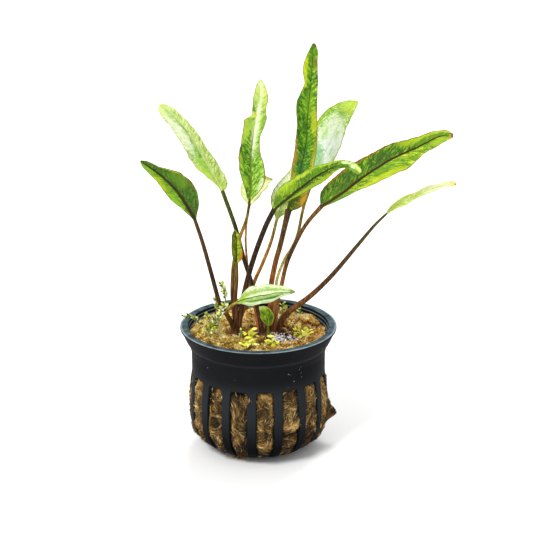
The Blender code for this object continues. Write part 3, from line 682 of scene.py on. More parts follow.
def wool_side(angle, height):
    """Radius of the wool: the ribs' inner face, plus a swelling in each slot, plus lumps and tufts."""
    swell = ease(from_rib(angle), 0.18, 0.72)
    reach = rib_reach(height)
    spot = around(reach, angle, height)
    recess = ease(height, 24.5, 28.4)
    broad, fine = side_folds(spot)
    lumps = 0.30 * ripples(spot, 11, 6.0) + 0.22 * broad
    tufts = tuft_sum(front_degrees(angle), height, SIDE_TUFTS, 4)
    swollen = 1.25 - 0.6 * recess + lumps + 0.13 * fine + np.minimum(tufts, 1.9) * 0.8
    tuft_across = (angle - math.radians(TUFT_DEGREES)) * 24.5 / TUFT_HALF
    above = height - TUFT_HEIGHT
    tuft_up = np.where(above > 0, above / TUFT_UP, -above / TUFT_DOWN)
    tuft = TUFT_OUT * np.clip(1 - np.hypot(tuft_across, tuft_up), 0, 1)
    over_rib = (1 - swell) * np.clip(tufts - 0.4, 0, 2.1)
    foot = ease(height, 0.3, 2.6)
    return reach - WALL - 0.35 + swell * np.clip(swollen, -0.9, 2.7) * foot + tuft + over_rib


def wool_top(x, y):
    """Height of the wool: a low dome with mounds, a knot ringed by a fold, hollows and lumps."""
    spot = np.stack(np.broadcast_arrays(x, y, 0.0 * np.asarray(x)), axis=-1)
    dome = 0.4 * (1 - (x**2 + y**2) / WOOL_INSIDE**2)
    ring = 0.6 * np.exp(-((np.hypot(x - KNOT[0], y - KNOT[1]) - 2.5) / 0.6)**2)
    lumps = 0.35 * ripples(spot, 21, 5.0) + 0.30 * crests(spot, 22, 2.2)
    lumps = lumps + 0.20 * crests(spot, 23, 0.9, waves=28)
    edge = 0.5 * ease(np.hypot(x, y), 22.6, 23.9)
    # Towards the front and the left it is packed higher, right up to the lip.
    packed = 0.8 * ease(np.hypot(x, y), 15.0, 22.5) * ease(-y - 0.3 * x, -9.0, 2.0)
    return WOOL_TOP + dome + tuft_sum(x, y, TOP_TUFTS, 4) + ring + lumps - edge + packed


def mossiness(points):
    """Where green moss has grown over the wool's top, 0 to about 1: most on the left and the front."""
    x, y = points[..., 0], points[..., 1]
    at_left = 0.92 * np.exp(-((x + 17)**2 / 60 + (y + 3)**2 / 130))
    return at_left + 0.45 * np.exp(-(x**2 / 200 + (y + 15)**2 / 60))


def wool_painted_light(points):
    """How light the wool is, 0 to 1: painted light where it stands out, painted shade in hollows."""
    x, y, height = np.moveaxis(np.asarray(points), -1, 0)
    degrees = front_degrees(np.arctan2(x, -y))
    broad, fine = side_folds(points)
    side = 0.42 + 0.85 * tuft_sum(degrees, height, SIDE_TUFTS, 5) + 0.06 * broad
    side = side + 0.08 * fine + 0.06 * ripples(points, 14, 4.0)
    # Behind the ribs and towards the foot the wool is painted darker, as shade.
    in_slot = ease(from_rib(np.radians(degrees)), 0.25, 0.5)
    side = side - 0.20 * (1 - in_slot) - 0.40 * (1 - ease(height, 1.5, 9.0))
    flat = np.stack([x, y, 0.0 * x], axis=-1)
    from_knot = np.hypot(x - KNOT[0], y - KNOT[1])
    rings = 0.22 * np.cos(2 * math.pi * from_knot / 1.7) * np.exp(-(from_knot / 4.5)**2)
    # The top is painted lighter than the side, and lighter still on its crests, as light.
    top = 0.57 + tuft_sum(x, y, TOP_TUFTS, 5) + rings
    top = top + 0.20 * crests(flat, 22, 2.2) + 0.24 * ripples(flat, 24, 4.5)
    return np.clip(np.where(height > 36, top, side), 0, 1)


print("wool swells to", round(float(wool_side(np.radians(5.75), 15.0)), 2), "mm in the front slot")

# %% The wool's body
turn = np.linspace(0, 2 * math.pi, 500, endpoint=False)
slot_height = np.linspace(28.2, 0.9, 92)[:, None]
# Radius and height of the plain rings behind the wall, and of those underneath.
WALL_RINGS = [(23.1, 40.9), (22.2, 39.6), (22.2, 30.0), (22.2, 28.3)]
UNDER_RINGS = [(12.2, 1.45), (6.0, 1.5), (0.5, 1.5)]
wool_rings = np.stack([
    *(around(r, turn, wool_top(r * np.sin(turn), -r * np.cos(turn)))
      for r in np.linspace(0.4, WOOL_INSIDE + 0.4, 64)),
    *(around(r, turn, z) for r, z in WALL_RINGS),
    *around(wool_side(turn[None, :], slot_height), turn[None, :], slot_height),
    *(around(r, turn, z) for r, z in UNDER_RINGS)])
wool_points, wool_faces = closed_lofts(wool_rings[None])
print("wool body of", len(wool_points), "points")

# %% [markdown]
# ### The colour of the felt
# The felt is brown and golden, and it is painted darker where it is pushed in, as shade, and
# lighter where it stands out, as light, so the finish mixes two noises drawn out along the
# strands. The top, which gets more light and more algae, is painted paler, and greener at the left.

# %% The felt's finish
felt = Finish("brown fibre felt", Specular_IOR_Level=0.2)
light = felt.mark("light")
strand = felt.noise(felt.place((1.0, 1.0, 0.4), (0.25, 0.35, 0.2)), 0.27, 5.0, 0.75, 1.6)
speck = felt.noise(felt.place(), 0.8, 4.0, 0.8)
cloud = felt.noise(felt.place(), 2.6, 3.0, 0.6)
side_value = light * 0.85 + 0.03 + (strand - 0.5) * 1.9 + (cloud - 0.5) * 0.2
side_colour = felt.ramp(side_value, [
    (0.0, tone(18, 13, 9)), (0.25, tone(48, 36, 20)), (0.45, tone(84, 64, 36)),
    (0.62, tone(128, 96, 50)), (0.80, tone(176, 134, 66)), (1.0, tone(220, 180, 100))])
top_value = light + (speck - 0.5) * 2.4 + (cloud - 0.5) * 1.1
top_colour = felt.ramp(top_value, [
    (0.05, tone(50, 26, 10)), (0.26, tone(124, 72, 20)), (0.44, tone(190, 124, 34)),
    (0.62, tone(232, 174, 66)), (0.80, tone(248, 222, 112)), (1.0, tone(255, 250, 200))])
moss = (felt.noise(felt.place(), 1.4, 3.0, 0.7).step(0.44, 0.54) * felt.mark("moss")).least(1.0)
moss_colour = felt.mix(speck.step(0.4, 0.6), tone(88, 98, 24), tone(190, 196, 60))
top_colour = felt.mix(moss * 0.85, top_colour, moss_colour)
top_colour = felt.mix(felt.mark("wet") * cloud.step(0.38, 0.55), top_colour, tone(214, 140, 24))
upper = felt.height().step(36 * MM, 38 * MM)
felt.set(Base_Color=felt.mix(upper, side_colour, top_colour), Roughness=0.9,
         Normal=felt.bump(strand + speck, 0.4))
wet = np.exp(-((wool_points[:, 0] - 20.5)**2 / 6 + (wool_points[:, 1] + 5)**2 / 50))
# The mark light carries the wool's painted light and shade.
wool = make_piece("wool_felt", wool_points, wool_faces, felt.material,
                  {"light": wool_painted_light(wool_points), "moss": mossiness(wool_points), "wet": wet})
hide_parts("growing_wool")
print("wool:", triangles(wool), "triangles")

# %% [markdown]
# ### Loose strands
# A strand is a thin tube along a short arc. Its middle is set anywhere on the wool, it heads a
# random way that a smooth field turns together with its neighbours, and its curl is constant,
# so the path is an arc of a circle: sideways (1 - cos) and forward sine. The arc is laid in the
# surface's own two coordinates and then lifted on it, so a strand follows every lump.

# %% Arcs, the fibres' finish and a piece of strands
STRAND_STEPS, STRAND_SIDES = 5, 3
# Where a strand's own coordinates are unrolled to millimetres, the wool's side has this radius.
SIDE_RADIUS = 24.0


def arcs(middle, heading, length, curl):
    """Flat arcs: from minus to plus half a length, forward sin(curl s)/curl, sideways (1 - cos)/curl."""
    curl = curl[:, None]
    s = np.linspace(-0.5, 0.5, STRAND_STEPS)[None, :] * length[:, None]
    forward, sideways = np.sin(curl * s) / curl, (1 - np.cos(curl * s)) / curl
    along = np.stack([np.cos(heading), np.sin(heading)], axis=-1)[:, None]
    across = np.stack([-np.sin(heading), np.cos(heading)], axis=-1)[:, None]
    return middle[:, None] + forward[..., None] * along + sideways[..., None] * across


def strand_finish():
    """Dull fibres whose colour comes from each strand's own tint, darkened in patches by a noise."""
    fibre = Finish("loose fibres", Specular_IOR_Level=0.35)
    tint = fibre.mark("tint")
    colour = fibre.ramp(tint, [
        (0.0, tone(24, 18, 11)), (0.25, tone(64, 48, 26)), (0.48, tone(114, 86, 44)),
        (0.68, tone(166, 126, 60)), (0.85, tone(214, 168, 86)), (1.0, tone(248, 220, 150))])
    shade = fibre.noise(fibre.place(), 0.7, 2.0).step(0.25, 0.75) * 0.5 + 0.58
    grey = fibre.add("ShaderNodeCombineColor", None, {"Red": shade, "Green": shade, "Blue": shade}, "Color")
    fibre.set(Base_Color=fibre.mix(1.0, colour, grey, "MULTIPLY"), Roughness=0.75)
    return fibre.material


fibre_material = strand_finish()


def strand_piece(name, routes, thin, lightness):
    """A piece of thin three-sided tubes along the routes, each with a tint of its own."""
    points, faces = tubes(routes, np.maximum(thin, 0.02), STRAND_SIDES, (0.31, 0.17, 0.93))
    tint = per_point(lightness[:, None], STRAND_STEPS, STRAND_SIDES)
    piece = make_piece(name, points, faces, fibre_material, {"tint": tint}, smooth=False)
    print(name, "has", triangles(piece), "triangles")
    return piece


# %% Strands on the sides
random = np.random.default_rng(7)
# Each bundle of strands shares a place, a heading, a curl and a tint.
bundles, per_bundle, front_bundles = 1500, 6, 1000
side_count = bundles * per_bundle
slot_heading = np.array([0.2, 0.5, 1.2, 1.6, 1.0, 2.0, 0.4, 1.4, 2.2, 0.9, 1.7, 0.3, 1.1, 1.2, 0.9, 2.0])
front = np.arange(bundles) < front_bundles
bundle_angle = np.where(front, random.uniform(-1.45, 1.45, bundles), random.uniform(1.45, 4.84, bundles))
bundle_height = random.uniform(1.5, 27.8, bundles)
bundle_spot = around(SIDE_RADIUS, bundle_angle, bundle_height)
slot = (np.floor((bundle_angle - RIB_ANGLES[0]) / PITCH) % len(slot_heading)).astype(int)
bundle_heading = slot_heading[slot] + 0.8 * ripples(bundle_spot, 31, 7.0) + random.normal(0, 0.25, bundles)
# The strands of one slot turn round a dark eye: they head across the line to it.
EYE_DEGREES, EYE_HEIGHT = -38, 15.6
eye_across = (bundle_angle - math.radians(EYE_DEGREES)) * SIDE_RADIUS
eye_up = bundle_height - EYE_HEIGHT
near_eye = np.exp(-(eye_across**2 + eye_up**2) / 12)
around_eye = np.arctan2(eye_up, eye_across) + math.pi / 2
bundle_heading = np.where(near_eye > 0.3, around_eye + random.normal(0, 0.15, bundles), bundle_heading)
bundle_curl = np.where(near_eye > 0.3, 0.5, random.normal(0, 0.28, bundles) + 0.02)
# Each bundle's tint follows the painted light and shade of the wool under it.
bundle_tint = wool_painted_light(bundle_spot) + 0.06 + random.normal(0, 0.09, bundles)


def shared(values, jitter):
    """A bundle's value repeated for its strands, each a little off."""
    return np.repeat(values, per_bundle) + random.normal(0, jitter, side_count)


middle = np.column_stack([shared(bundle_angle, 0.016), shared(bundle_height, 0.4)])
length = np.repeat(random.uniform(1.2, 3.4, bundles), per_bundle) * random.uniform(0.6, 1.2, side_count)
flat = arcs(middle * [SIDE_RADIUS, 1.0], shared(bundle_heading, 0.16), length, shared(bundle_curl, 0.1))
angle, height = flat[..., 0] / SIDE_RADIUS, np.clip(flat[..., 1], 0.7, 28.0)
from_end_to_end = np.linspace(-1, 1, STRAND_STEPS)
lift = random.uniform(-0.03, 0.26, (side_count, 1)) + 0.15 * from_end_to_end**2
stray = np.where(random.uniform(0, 1, side_count) < 0.07, random.uniform(0.3, 1.1, side_count), 0)[:, None]
lift = lift + stray * np.linspace(0, 1, STRAND_STEPS)**2
routes = around(wool_side(angle, height) + lift, angle, height)
thin = random.uniform(0.05, 0.11, (side_count, 1)) * (1.15 - np.abs(from_end_to_end))
lightness = np.clip(shared(bundle_tint, 0.3), 0, 1)
for part, chosen in (("front", np.repeat(front, per_bundle)), ("back", np.repeat(~front, per_bundle))):
    side_strands = strand_piece("wool_strands_" + part, routes[chosen], thin[chosen], lightness[chosen])

# %% Strands on the top
top_count = 3200
spread = 23.2 * np.sqrt(random.uniform(0, 1, top_count))
swing = random.uniform(0, 2 * math.pi, top_count)
middle = np.column_stack([spread * np.sin(swing), -spread * np.cos(swing)])
on_top = np.column_stack([middle, np.full(top_count, 42.0)])
length, curl = random.uniform(0.9, 3.2, top_count), random.normal(0, 0.5, top_count) + 0.03
heading = 2.4 * ripples(on_top, 33, 7.0) + random.normal(0, 0.6, top_count)
# Round the knot they lie in rings: across the line to it, and as curved as their ring.
knot_x, knot_y = middle[:, 0] - KNOT[0], middle[:, 1] - KNOT[1]
from_knot = np.maximum(np.hypot(knot_x, knot_y), 0.8)
heading = np.where(from_knot < 5, np.arctan2(knot_y, knot_x) + math.pi / 2 + 0.3 * heading, heading)
curl = np.where(from_knot < 5, 1 / from_knot, curl)
flat = arcs(middle, heading, length, curl)
lift = random.uniform(0.0, 0.3, (top_count, 1)) + 0.25 * from_end_to_end**2
routes = np.dstack([flat, wool_top(flat[..., 0], flat[..., 1]) + lift])
thin = random.uniform(0.05, 0.11, (top_count, 1)) * (1.1 - np.abs(from_end_to_end))
# The top strands take the painted light and shade of the top, a little lighter.
lightness = np.clip(wool_painted_light(on_top) * 1.1 + 0.12 + random.normal(0, 0.2, top_count), 0, 1)
top_strands = strand_piece("wool_strands_top", routes, thin, lightness)

# %% A wisp that hangs out under the front, and a pinch caught on a rib
hanging, caught = 40, 20
wisp_middle = np.column_stack([
    random.normal(-5.9, 1.1, hanging), random.normal(-14.2, 0.6, hanging), random.uniform(0.3, 1.4, hanging)])
wisp_sweep = np.column_stack([
    random.uniform(0.8, 2.2, hanging), random.normal(0, 0.5, hanging), random.uniform(0.0, 0.5, hanging)])
pinch_middle = around(24.55, np.radians(random.normal(-8.5, 0.8, caught)), random.normal(26.7, 0.7, caught))
pinch_sweep = random.normal(0, 0.4, (caught, 3)) * (1, 0.3, 1)
middle, sweep = np.vstack([wisp_middle, pinch_middle]), np.vstack([wisp_sweep, pinch_sweep])
s = from_end_to_end[None, :, None]
routes = middle[:, None] + s * sweep[:, None] + (1 - s**2) * random.normal(0, 0.15, (hanging + caught, 1, 3))
routes[..., 2] = np.maximum(routes[..., 2], 0.15)
wisp = strand_piece("wool_wisp", routes, 0.09, random.uniform(0.35, 0.95, hanging + caught))

# %% [markdown]
# ### Crumbs
# The top of the wool is strewn with crumbs of moss, grit and old leaf. Each crumb is a squashed
# octahedron, eight faces in all, turned at random. Most are golden; by the right crown lies a
# patch of pale, wet ones.

# %% Crumbs on the top
def crumbs(place, size, seed):
    """Octahedra: six corners at plus and minus each axis, stretched and turned at random."""
    random = np.random.default_rng(seed)
    corners = np.array([(1, 0, 0), (0, 1, 0), (-1, 0, 0), (0, -1, 0), (0, 0, 1), (0, 0, -1)], float)
    turned, _ = np.linalg.qr(random.normal(size=(len(place), 3, 3)))
    turned = turned * np.sign(np.linalg.det(turned))[:, None, None]
    stretched = corners * random.uniform(0.5, 1.3, (len(place), 1, 3)) * np.asarray(size)[:, None, None]
    points = (place[:, None] + stretched @ turned).reshape(-1, 3)
    return points, [counted_on(double_fan(4), len(place), len(corners))]


random = np.random.default_rng(17)
crumb_count = 3200
spread = 23.5 * np.sqrt(random.uniform(0, 1, crumb_count))
swing = random.uniform(0, 2 * math.pi, crumb_count)
x, y = spread * np.sin(swing), -spread * np.cos(swing)
size = random.uniform(0.12, 0.46, crumb_count) * random.uniform(0.5, 1, crumb_count)
crumb_place = np.column_stack([x, y, wool_top(x, y) + size * 0.15])
# Each crumb's tint follows the painted light and shade of the wool under it.
crumb_tint = np.clip(wool_painted_light(crumb_place) + random.normal(0.04, 0.34, crumb_count), 0, 1)
crumb_moss = mossiness(crumb_place) * random.uniform(0, 1, crumb_count) > 0.24
pale_count = 420
x, y = 7.8 + random.normal(0, 2.3, pale_count), -6.9 + random.normal(0, 2.3, pale_count)
pale_place = np.column_stack([x, y, wool_top(x, y) + 0.25])
grit = Finish("crumbs of moss and grit", Specular_IOR_Level=0.3, Roughness=0.6)
grit_tint = grit.mark("tint")
grit_colour = grit.ramp(grit_tint, [
    (0.0, tone(44, 24, 10)), (0.26, tone(130, 76, 22)), (0.46, tone(202, 130, 38)),
    (0.66, tone(238, 182, 72)), (0.84, tone(250, 232, 126)), (0.91, tone(228, 224, 236)),
    (1.0, tone(255, 255, 255))])
edge_highlight_and_wear = grit.noise(grit.place(), 0.4).step(0.2, 0.8) * 0.25 * grit_tint.step(0.92, 0.88)
grit_colour = grit.mix(edge_highlight_and_wear, grit_colour, tone(110, 70, 26))
green_crumb = grit.ramp(grit_tint, [
    (0.1, tone(60, 74, 20)), (0.5, tone(150, 160, 40)), (0.9, tone(226, 234, 110))])
grit.set(Base_Color=grit.mix(grit.mark("moss") * 0.85, grit_colour, green_crumb))
pale_size = random.uniform(0.2, 0.5, pale_count)
points, faces = join([crumbs(crumb_place, size, 18), crumbs(pale_place, pale_size, 19)])
# A fifth of the pale crumbs are dark: painted shade in the gaps between them.
dark_for_gap_shade = random.uniform(0, 1, pale_count) < 0.2
pale_tint = np.where(dark_for_gap_shade, random.uniform(0.0, 0.1, pale_count), random.uniform(0.92, 1.0, pale_count))
tint = np.concatenate([np.repeat(crumb_tint * 0.86, 6), np.repeat(pale_tint, 6)])
moss = np.concatenate([np.repeat(crumb_moss, 6), np.zeros(pale_count * 6)])
strewn = make_piece("wool_crumbs", points, faces, grit.material, {"tint": tint, "moss": moss}, smooth=False)
print("crumbs:", triangles(strewn), "triangles")

# %% Dust specks on the collar: angle from the front in degrees, height, size
SPECKS = np.array([
    (26, 34.8, 0.20), (27, 34.5, 0.14), (37, 35.7, 0.14), (39, 34.2, 0.22), (31.5, 31.8, 0.20),
    (26, 30, 0.13), (31.5, 30, 0.12), (-48, 35.1, 0.16), (58, 41.4, 0.16), (39.5, 42.3, 0.13),
    (15, 41.7, 0.12), (39.6, 32.6, 0.12), (-20, 33.0, 0.10), (47, 38.6, 0.12), (38, 36.6, 0.13),
    (28.5, 34.6, 0.14)])
outer_wall = collar_section[collar_section[:, 0] > BODY_RADIUS - 0.2]
outer_wall = outer_wall[np.argsort(outer_wall[:, 1])]
speck_radius = np.interp(SPECKS[:, 1], outer_wall[:, 1], outer_wall[:, 0])
speck_place = around(speck_radius + 0.02, np.radians(SPECKS[:, 0]), SPECKS[:, 1])
chalk = Finish("pale dust", Roughness=0.9, Specular_IOR_Level=0.2)
chalk.set(Base_Color=chalk.mix(chalk.noise(chalk.place(), 0.5), tone(96, 100, 98), tone(190, 194, 190)))
points, faces = crumbs(speck_place, SPECKS[:, 2], 27)
dust = make_piece("pot_dust", points, faces, chalk.material, smooth=False)
print("specks:", len(SPECKS))

# %% [markdown]
# ## The leaves
# Each leaf is a lance-shaped blade on a round stalk. A blade is drawn as its midrib, a smooth
# path in space, with a half width to its left and to its right at a few stations. Across the
# midrib the blade is folded up a little, it ripples towards its margins, and it has a rib that
# stands out on its underside. So the surface is a formula of two numbers: the share of the way
# along the midrib, and the share of the way across from margin to margin. The upper and the
# lower skin are one closed ring at every step along, so the blade is a loft like the ribs.

# %% The thirteen leaves, in millimetres
# stalk and rib are paths; edge gives (place, left, right) half widths; looks is the way the
# face that is seen from the front looks; side names that face; radii are the stalk's two ends.
LEAVES = {
    "far_left": dict(
        stalk=[(-9.7, -1.0, 43.7), (-11.8, -2.5, 48.5), (-13.8, -4, 55.5), (-16.4, -6, 67), (-19, -8, 78)],
        rib=[(-21.5, -10, 87), (-25, -11.5, 94), (-28.5, -13, 99.5), (-33.5, -15, 105), (-39, -18, 110)],
        edge=[(0, 0.5, 0.5), (0.05, 0.8, 1.4), (0.12, 1.7, 3.1), (0.2, 2.6, 4.5), (0.3, 3.5, 5.3),
              (0.4, 4.0, 5.7), (0.5, 4.0, 5.7), (0.58, 3.4, 4.9), (0.68, 2.6, 3.1), (0.78, 2.5, 2.0),
              (0.88, 1.8, 1.5), (0.95, 1.0, 1.0), (1, 0.2, 0.3)],
        looks=(-0.2, -0.95, -0.1), side="under", radii=(0.85, 0.55)),
    "pale_left": dict(
        stalk=[(1.2, -2.6, 43.7), (-0.5, 0.5, 52), (-2.5, 3, 60), (-5, 5, 67.5), (-8, 7.5, 78.5)],
        rib=[(-12.5, 10, 91), (-14.5, 11, 94.5), (-19, 13, 102), (-23.5, 15, 109.5), (-30, 18, 116),
             (-34.5, 21, 119)],
        edge=[(0, 0.5, 1.4), (0.04, 0.6, 2.7), (0.1, 1.3, 3.2), (0.18, 2.5, 3.2), (0.27, 3.7, 3.1),
              (0.36, 4.6, 2.7), (0.5, 4.7, 2.4), (0.63, 4.2, 2.3), (0.75, 3.6, 2.3), (0.85, 3.2, 2.2),
              (0.93, 2.4, 1.6), (0.97, 1.6, 1.2), (1, 0.5, 0.4)],
        looks=(0.2, -0.85, 0.5), side="upper", radii=(0.8, 0.6)),
    "twisted": dict(
        stalk=[(-8.2, 0.7, 43.7), (-9, 1.5, 53.5), (-9, 2, 60.5), (-8.5, 3, 67), (-6.5, 4.5, 75.5),
               (-4, 5.5, 82.5)],
        rib=[(-3, 6.5, 89), (-2.5, 7, 94), (-2.5, 8, 104.5), (-1.5, 9, 113.5), (-0.5, 10, 119.5),
             (0.5, 11, 125.5), (0.5, 12, 130.5)],
        edge=[(0, 0.6, 0.6), (0.04, 1.3, 1.7), (0.1, 2.2, 3.6), (0.18, 3.2, 4.7), (0.27, 4.0, 4.5),
              (0.36, 4.2, 3.5), (0.46, 3.8, 2.6), (0.55, 3.6, 2.4), (0.62, 3.7, 3.3), (0.66, 3.6, 3.5),
              (0.69, 1.8, 3.6), (0.75, 1.6, 2.9), (0.84, 1.9, 2.9), (0.93, 1.4, 1.9), (0.97, 0.8, 1.2),
              (1, 0.2, 0.3)],
        looks=(0.1, -0.95, 0.1), side="upper", radii=(0.85, 0.55)),
    "folded_back": dict(
        stalk=[(-0.2, -0.2, 43.7), (-1.4, 2.5, 51), (-3.2, 4.5, 57), (-4, 7.5, 66), (-4.5, 11, 73),
               (-4, 13.5, 80)],
        rib=[(-3, 15, 84.5), (-2.5, 18, 87.5), (-1, 23, 89), (1.5, 29, 89), (5, 34, 88)],
        edge=[(0, 0.5, 0.5), (0.04, 1.6, 1.3), (0.1, 2.7, 2.7), (0.18, 3.7, 3.7), (0.27, 4.0, 4.3),
              (0.4, 4.3, 4.5), (0.55, 4.3, 4.1), (0.7, 4.0, 3.1), (0.8, 3.2, 2.3), (0.9, 2.2, 1.3),
              (1, 0.3, 0.2)],
        looks=(-0.1, -0.5, 0.85), side="upper", radii=(0.8, 0.5)),
    "young_left": dict(
        stalk=[(-7.3, -3.3, 43.7), (-8, -4, 55.5), (-7.5, -4, 63)],
        rib=[(-7.5, -4.5, 69.5), (-7.5, -5, 74.5), (-7.5, -5.5, 78), (-8, -6, 82)],
        edge=[(0, 0.5, 0.5), (0.06, 1.0, 1.2), (0.18, 1.2, 1.9), (0.3, 1.5, 2.0), (0.45, 1.6, 1.7),
              (0.7, 1.5, 1.5), (0.85, 1.2, 1.1), (0.94, 0.7, 0.6), (1, 0.1, 0.1)],
        looks=(0.1, -0.95, 0.1), side="upper", radii=(0.85, 0.55)),
    "arching": dict(
        stalk=[(-5.8, -2.0, 43.7), (-5.5, -3, 54), (-3.5, -5, 64.5), (-1, -7.5, 74), (2.5, -10, 84.5)],
        rib=[(5.5, -12, 91.5), (8.5, -13, 94.5), (14.5, -16, 100.5), (21.5, -19, 106.5), (27, -22, 110),
             (31, -23.5, 110), (34, -24, 107.5)],
        edge=[(0, 0.6, 0.5), (0.05, 2.0, 0.8), (0.1, 3.2, 1.1), (0.18, 4.2, 1.5), (0.27, 4.4, 2.2),
              (0.36, 4.2, 2.9), (0.45, 3.8, 3.3), (0.55, 3.1, 3.4), (0.65, 2.4, 2.8), (0.75, 1.7, 2.0),
              (0.86, 1.2, 1.4), (0.94, 1.1, 1.2), (0.98, 0.9, 0.9), (1, 0.4, 0.4)],
        looks=(0.2, -0.9, -0.2), side="under", radii=(0.9, 0.7)),
    "tall": dict(
        stalk=[(3.4, -0.8, 43.7), (4.5, 0, 54), (4.5, 1, 59.5), (6, 2, 67.5), (7.5, 2.5, 73), (9, 3, 79.5)],
        rib=[(10.5, 4, 86), (12.5, 4.5, 92), (14.5, 5, 100), (16.5, 6, 110), (17, 7, 120), (18, 8, 130),
             (18.5, 9, 138), (19, 10, 143.5)],
        edge=[(0, 0.6, 1.0), (0.04, 0.9, 3.4), (0.1, 1.6, 4.3), (0.18, 2.4, 4.2), (0.27, 3.1, 4.0),
              (0.36, 3.4, 3.9), (0.45, 3.7, 3.4), (0.54, 3.5, 3.2), (0.6, 4.0, 3.0), (0.66, 4.0, 2.7),
              (0.71, 3.1, 2.4), (0.77, 2.1, 2.2), (0.84, 3.0, 1.9), (0.9, 2.6, 1.7), (0.96, 1.3, 1.4),
              (1, 0.4, 0.4)],
        looks=(0.05, -0.95, 0.1), side="upper", radii=(1.0, 0.8)),
    "broad_right": dict(
        stalk=[(3.6, 1.6, 43.7), (6, 4, 52.5), (6.5, 6, 59.5), (9, 8, 66), (12, 10, 70.5), (14, 12, 75),
               (15.8, 14, 83.5)],
        rib=[(18, 16, 90), (20.5, 18, 97), (24.5, 20.5, 104), (29, 24, 112), (35, 28, 118.5)],
        edge=[(0, 0.5, 0.5), (0.04, 1.8, 1.8), (0.1, 3.3, 3.7), (0.18, 4.5, 4.6), (0.27, 5.6, 4.8),
              (0.36, 6.7, 4.5), (0.47, 7.1, 4.1), (0.6, 7.3, 3.7), (0.72, 6.6, 2.9), (0.82, 5.3, 2.1),
              (0.9, 4.1, 1.4), (0.96, 2.3, 0.8), (1, 0.3, 0.3)],
        looks=(-0.25, -0.85, 0.45), side="upper", radii=(0.8, 0.6)),
    "pale_back": dict(
        stalk=[(-6.2, 0.3, 43.7), (-5.8, 2.0, 46), (-4, 5.5, 49.5), (-1.5, 9, 57.5), (1.5, 11, 64),
               (4.5, 13, 71.5)],
        rib=[(6.5, 15, 79), (8, 15.5, 84), (10, 16, 89.5), (12.5, 17, 95.5), (14, 18, 100.5)],
        edge=[(0, 0.5, 0.5), (0.04, 0.9, 0.8), (0.1, 1.9, 1.8), (0.18, 3.1, 2.9), (0.27, 4.1, 3.6),
              (0.4, 4.3, 4.0), (0.55, 3.5, 3.9), (0.7, 2.2, 3.3), (0.82, 1.4, 2.4), (0.92, 0.8, 1.2),
              (1, 0.15, 0.15)],
        looks=(0.0, -0.95, 0.25), side="under", radii=(0.8, 0.6)),
    "long_right": dict(
        stalk=[(5.3, -2.9, 43.7), (6.5, -4, 54), (8, -5.5, 61.5), (10, -7.5, 71), (14, -9.5, 81),
               (17, -10.5, 86.5)],
        rib=[(21.5, -12, 92.5), (28.5, -14, 98), (35.5, -16.5, 104.5), (44, -19, 111), (52, -21, 115.5),
             (59.5, -23, 120), (64, -24, 120.5)],
        edge=[(0, 0.6, 0.6), (0.03, 2.8, 0.9), (0.08, 4.8, 1.5), (0.15, 5.7, 2.3), (0.22, 6.0, 3.3),
              (0.3, 5.9, 4.6), (0.4, 5.6, 5.6), (0.5, 5.2, 6.6), (0.58, 5.0, 7.0), (0.64, 4.4, 6.5),
              (0.7, 3.8, 4.9), (0.78, 3.2, 3.7), (0.86, 2.6, 3.8), (0.92, 1.8, 3.0), (0.97, 1.3, 1.7),
              (1, 0.5, 0.5)],
        looks=(0.2, -0.9, -0.15), side="under", radii=(0.9, 0.7)),
    "slender_right": dict(
        stalk=[(6.9, -0.4, 43.9), (8.8, -0.5, 47.8), (12, -1, 51.3), (18.2, -2, 56.5), (25.6, -3, 64.5),
               (33.6, -4, 75), (39.6, -5, 83)],
        rib=[(44, -6, 88), (47.5, -6.5, 91), (52.5, -7.5, 94), (58, -8.5, 97), (62.5, -9, 98.5),
             (67, -9.5, 99.5)],
        edge=[(0, 0.4, 0.4), (0.05, 1.3, 0.8), (0.12, 1.9, 2.0), (0.25, 2.3, 2.9), (0.4, 2.1, 2.3),
              (0.6, 2.0, 2.0), (0.8, 1.9, 1.3), (0.93, 1.7, 1.1), (0.98, 1.1, 0.8), (1, 0.5, 0.5)],
        looks=(-0.3, -0.25, 0.95), side="upper", radii=(1.2, 0.4)),
    "low_front": dict(
        stalk=[(-8.9, -3.3, 43.7), (-10.6, -7.5, 48.2), (-11.2, -11, 53.2), (-9.4, -13, 56.7)],
        rib=[(-7.2, -14, 58.6), (-4, -15.5, 60.3), (1.5, -17.5, 62.3), (7, -19.5, 63.9), (12.5, -22, 65.2)],
        edge=[(0, 0.4, 0.4), (0.05, 1.0, 0.9), (0.12, 2.2, 1.7), (0.22, 3.4, 2.8), (0.35, 4.0, 3.4),
              (0.5, 3.7, 3.4), (0.65, 3.1, 2.9), (0.78, 2.3, 1.9), (0.88, 1.5, 1.0), (0.95, 0.8, 0.6),
              (1, 0.2, 0.2)],
        looks=(-0.1, -0.65, 0.75), side="upper", radii=(0.65, 0.45)),
    "young_front": dict(
        stalk=[(3.4, -4.7, 43.7), (3.5, -4.8, 45.0)],
        rib=[(3.5, -5.0, 46.3), (3.5, -5.9, 49.2), (2.5, -7, 52.5), (0.4, -8.6, 54.8)],
        edge=[(0, 0.3, 0.3), (0.06, 0.6, 0.7), (0.18, 1.3, 1.3), (0.35, 2.1, 1.8), (0.55, 2.4, 1.8),
              (0.75, 2.2, 1.3), (0.88, 1.3, 0.8), (0.95, 0.7, 0.4), (1, 0.1, 0.1)],
        looks=(0.1, -0.9, 0.4), side="upper", radii=(0.5, 0.4)),
}
print("leaves:", len(LEAVES))

# %% The blade's formula
VEIN_GAP = 2.6


